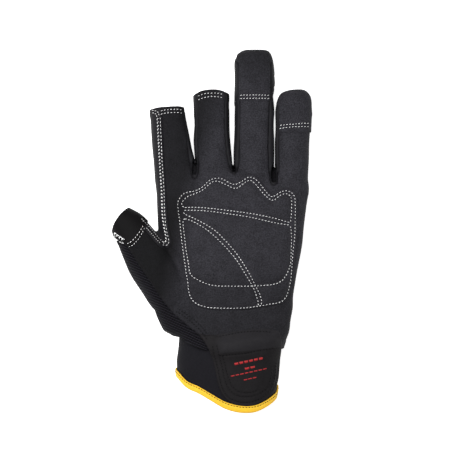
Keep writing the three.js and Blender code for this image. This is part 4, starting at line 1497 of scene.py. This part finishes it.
def tape_profile():
    """The folded tape's section: outwards from the cuff wall's middle, and up from its edge"""
    outer = [(TAPE_HALF - 0.5, BINDING_HEIGHT)]
    outer += [(TAPE_HALF + out, up) for up, out in TAPE_FOLD]
    for turn in np.linspace(0.1, math.pi - 0.1, 8):
        outer.append((TAPE_HALF * math.cos(turn), 0.3 - 0.85 * math.sin(turn)))
    outer += [(-TAPE_HALF, 1.0), (-TAPE_HALF, 2.6), (-TAPE_HALF, 4.0), (-TAPE_HALF + 0.5, BINDING_HEIGHT)]
    inner_half = TAPE_HALF - BINDING_WALL
    return outer + [
        (-inner_half, BINDING_HEIGHT), (-inner_half, 0.4), (inner_half, 0.4), (inner_half, BINDING_HEIGHT),
    ]


rings = [edge_ring + outward * u + inward * v for u, v in tape_profile()]
add_panel("cuff_binding", np.vstack(rings), grid_faces(len(rings)), "tape", "yellow_tape")

# Stitches lie on the finished surfaces
all_points, all_faces, total = [], [], 0
for points, faces in surfaces:
    all_points.append(points)
    all_faces.append(np.asarray(faces) + total)
    total += len(points)
ground = BVHTree.FromPolygons(np.vstack(all_points).tolist(), np.vstack(all_faces).tolist())


def on_surface(places):
    """Points and outward directions on the glove's upper side at planform places"""
    points, ways = [], []
    for x, y in places:
        hit, way, _, _ = ground.ray_cast(Vector((x, y, 80)), Vector((0, 0, -1)))
        if hit is None:
            hit, way = Vector((x, y, 0)), Vector((0, 0, 1))
        points.append(hit)
        ways.append(way if way.z > 0 else -way)
    return np.array(points), np.array(ways)


def evenly(line, step):
    """Points at an even step along a line"""
    line = np.asarray(line)
    reach = np.concatenate([[0], np.cumsum(np.linalg.norm(np.diff(line, axis=0), axis=1))])
    count = max(2, int(round(reach[-1] / step)) + 1)
    at = np.linspace(0, reach[-1], count)
    return np.column_stack([np.interp(at, reach, line[:, k]) for k in range(line.shape[1])])


def laid(start, end):
    """A stitch between two planform places, or none where it would hang off the glove's side"""
    places, ways = on_surface([start, end])
    drop = abs(places[0, 2] - places[1, 2])
    if places[:, 2].min() < STITCH_FLOOR or drop > STEEPEST * np.linalg.norm(end - start):
        return []
    return [(places[0], places[1], ways.mean(0))]


def add_threads(name, stitches, radius, look):
    """A piece of short lengths of thread that dip into the cloth at both ends"""
    points, faces = [], []
    for start, end, way in stitches:
        ahead = end - start
        length = np.linalg.norm(ahead)
        if length < 1e-6:
            continue
        ahead /= length
        side = np.cross(way, ahead)
        side /= max(np.linalg.norm(side), 1e-9)
        up = np.cross(ahead, side)
        base = len(points)
        for share, size, rise in THREAD_RUN:
            middle = start + ahead * length * share + up * (rise * radius)
            for k in range(THREAD_SIDES):
                turn = 2 * math.pi * k / THREAD_SIDES
                off = math.cos(turn) * side + math.sin(turn) * up
                points.append(middle + radius * max(size, 0.02) * off)
        for row in range(len(THREAD_RUN) - 1):
            for k in range(THREAD_SIDES):
                a = base + row * THREAD_SIDES + k
                b = base + row * THREAD_SIDES + (k + 1) % THREAD_SIDES
                faces += [(a, b, b + THREAD_SIDES), (a, b + THREAD_SIDES, a + THREAD_SIDES)]
        last = base + (len(THREAD_RUN) - 1) * THREAD_SIDES
        for k in range(1, THREAD_SIDES - 1):
            faces += [(base, base + k + 1, base + k), (last, last + k, last + k + 1)]
    add_piece(name, np.array(points), np.array(faces), look)


def rows_of_stitches(lines, pitch, share=STITCH_SHARE):
    """Stitches one after another on lines of photo points, each a little aslant"""
    made = []
    for line in lines:
        ends = evenly(curve(seen(line)), pitch)
        for a, b in zip(ends[:-1], ends[1:]):
            way = b - a
            off = np.array([-way[1], way[0]]) * STITCH_SLANT
            gap = way * (1 - share) / 2
            made += laid(a + gap - off, b - gap + off)
    return made


white = rows_of_stitches([PATCH_ROW + PATCH_ROW[:1], *PATCH_ROWS], STITCH_PITCH)
white += rows_of_stitches([*TIP_ROWS, *CAP_ROWS, *HEM_ROWS], SHORT_PITCH)
white += rows_of_stitches(THUMB_SIDE_ROWS, SIDE_PITCH, SIDE_SHARE)
add_threads("white_stitches", white, THREAD_RADIUS, "white_thread")


def ladder(left, right, pitch, lean, share=1.0, rungs=1):
    """Two rows of stitches with threads across between them, whole or half way"""
    a, b = evenly(curve(seen(left)), pitch), evenly(curve(seen(right)), pitch)
    count = min(len(a), len(b))
    b = evenly(b, np.linalg.norm(np.diff(b, axis=0), axis=1).sum() / (count - 1))
    a = evenly(a, np.linalg.norm(np.diff(a, axis=0), axis=1).sum() / (count - 1))
    made = []
    for i in range(min(len(a), len(b)) - 1):
        crossing = b[i] * (1 - lean) + b[i + 1] * lean
        middle = (a[i] + crossing) / 2
        threads = [(a[i], a[i + 1]), (b[i], b[i + 1]), (a[i], middle), (middle, crossing)]
        for start, end in threads[:3 + rungs]:
            gap = (end - start) * (1 - share) / 2
            made += laid(start + gap, end - gap)
    return made


cover = ladder(COVER_LEFT, COVER_RIGHT, COVER_PITCH, COVER_LEAN, COVER_SHARE, 0)
add_threads("cover_stitches", cover, COVER_RADIUS, "white_thread")
tack = ladder(LADDER_TOP, LADDER_BOTTOM, TACK_PITCH, TACK_LEAN)
add_threads("thumb_tack", tack, TACK_RADIUS, "white_thread")
black = rows_of_stitches([*KNIT_ROWS, *TAB_ROWS, FLEX_UPPER, FLEX_LOWER], BLACK_PITCH)
add_threads("black_stitches", black, BLACK_RADIUS, "black_thread")

tape_stitches = []
tape_ring = edge_ring + outward * (TAPE_HALF + 0.02) + inward * TAPE_ROW
tape_line = evenly(np.vstack([tape_ring, tape_ring[:1]]), BLACK_PITCH)
for a, b in zip(tape_line[:-1], tape_line[1:]):
    near = np.argmin(np.linalg.norm(tape_ring - a, axis=1))
    space = (b - a) * TAPE_SPACE
    tape_stitches.append((a + space, b - space, outward[near]))
add_threads("tape_stitches", tape_stitches, TAPE_THREAD, "black_thread")

# Red printed dashes on the tongue
dash_points, dash_faces = [], []
print_way = np.array([math.cos(PRINT_TILT), math.sin(PRINT_TILT)])
print_up = np.array([-math.sin(PRINT_TILT), math.cos(PRINT_TILT)])
for centre, count, step, length, width in PRINT_ROWS:
    for column in range(count):
        middle = spot(*centre) + print_way * (column - (count - 1) / 2) * step
        places = [
            middle + print_way * u * length / 2 + print_up * v * width / 2
            for v in (-1, 0, 1) for u in np.linspace(-1, 1, DASH_POINTS)
        ]
        points, ways = on_surface(places)
        faces = []
        for j in range(2):
            for i in range(DASH_POINTS - 1):
                a = j * DASH_POINTS + i
                b = a + DASH_POINTS
                faces += [(a, a + 1, b + 1), (a, b + 1, b)]
        heights = [np.full(len(points), height) for height in (DASH_RISE, DASH_SINK)]
        made, shell = thick(Skin(points, np.array(faces), ways), *heights)
        dash_faces.append(shell + sum(len(p) for p in dash_points))
        dash_points.append(made)
add_piece("tab_print", np.vstack(dash_points), np.vstack(dash_faces), "print")

# Light table, soft light and a camera straight above
table_mesh = bpy.data.meshes.new("table")
corners = [(TABLE_HALF * x, TABLE_HALF * y, 0) for x, y in ((-1, -1), (1, -1), (1, 1), (-1, 1))]
table_mesh.from_pydata(corners, [], [(0, 1, 2, 3)])
table = linked("table", table_mesh)
table.location.z = -TABLE_DROP
table_look = Look("table", (1, 1, 1, 1), 0.9)
table_look.shader.inputs["Emission Color"].default_value = (1, 1, 1, 1)
table_look.shader.inputs["Emission Strength"].default_value = TABLE_GLOW
table_mesh.materials.append(table_look.material)
table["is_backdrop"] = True

world = bpy.data.worlds.new("studio")
bpy.context.scene.world = world
world.use_nodes = True
backdrop = world.node_tree.nodes["Background"]
backdrop.inputs["Color"].default_value = (1, 1, 1, 1)
backdrop.inputs["Strength"].default_value = WORLD_LIGHT

for name, place, size, power in LAMPS:
    light = bpy.data.lights.new(name, "AREA")
    light.shape = "SQUARE"
    light.size = size
    light.energy = power
    lamp = linked(name, light)
    lamp.location = place
    lamp.rotation_euler = (Vector(LAMP_AIM) - Vector(place)).to_track_quat("-Z", "Y").to_euler()

camera_data = bpy.data.cameras.new("camera")
camera_data.sensor_width = SENSOR
camera_data.lens = SENSOR * (CAMERA_HEIGHT - GLOVE_MIDDLE_HEIGHT) / (PHOTO_SIZE * PHOTO_SCALE * MM)
camera = linked("camera", camera_data)
camera.location = (*(spot(PHOTO_SIZE / 2, PHOTO_SIZE / 2) * MM), CAMERA_HEIGHT)
bpy.context.scene.camera = camera
bpy.context.scene.view_settings.view_transform = "Standard"

visual_low, visual_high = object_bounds()
size = {
    "part": [list(part_low), list(part_high)],
    "visual": [list(visual_low), list(visual_high)],
}
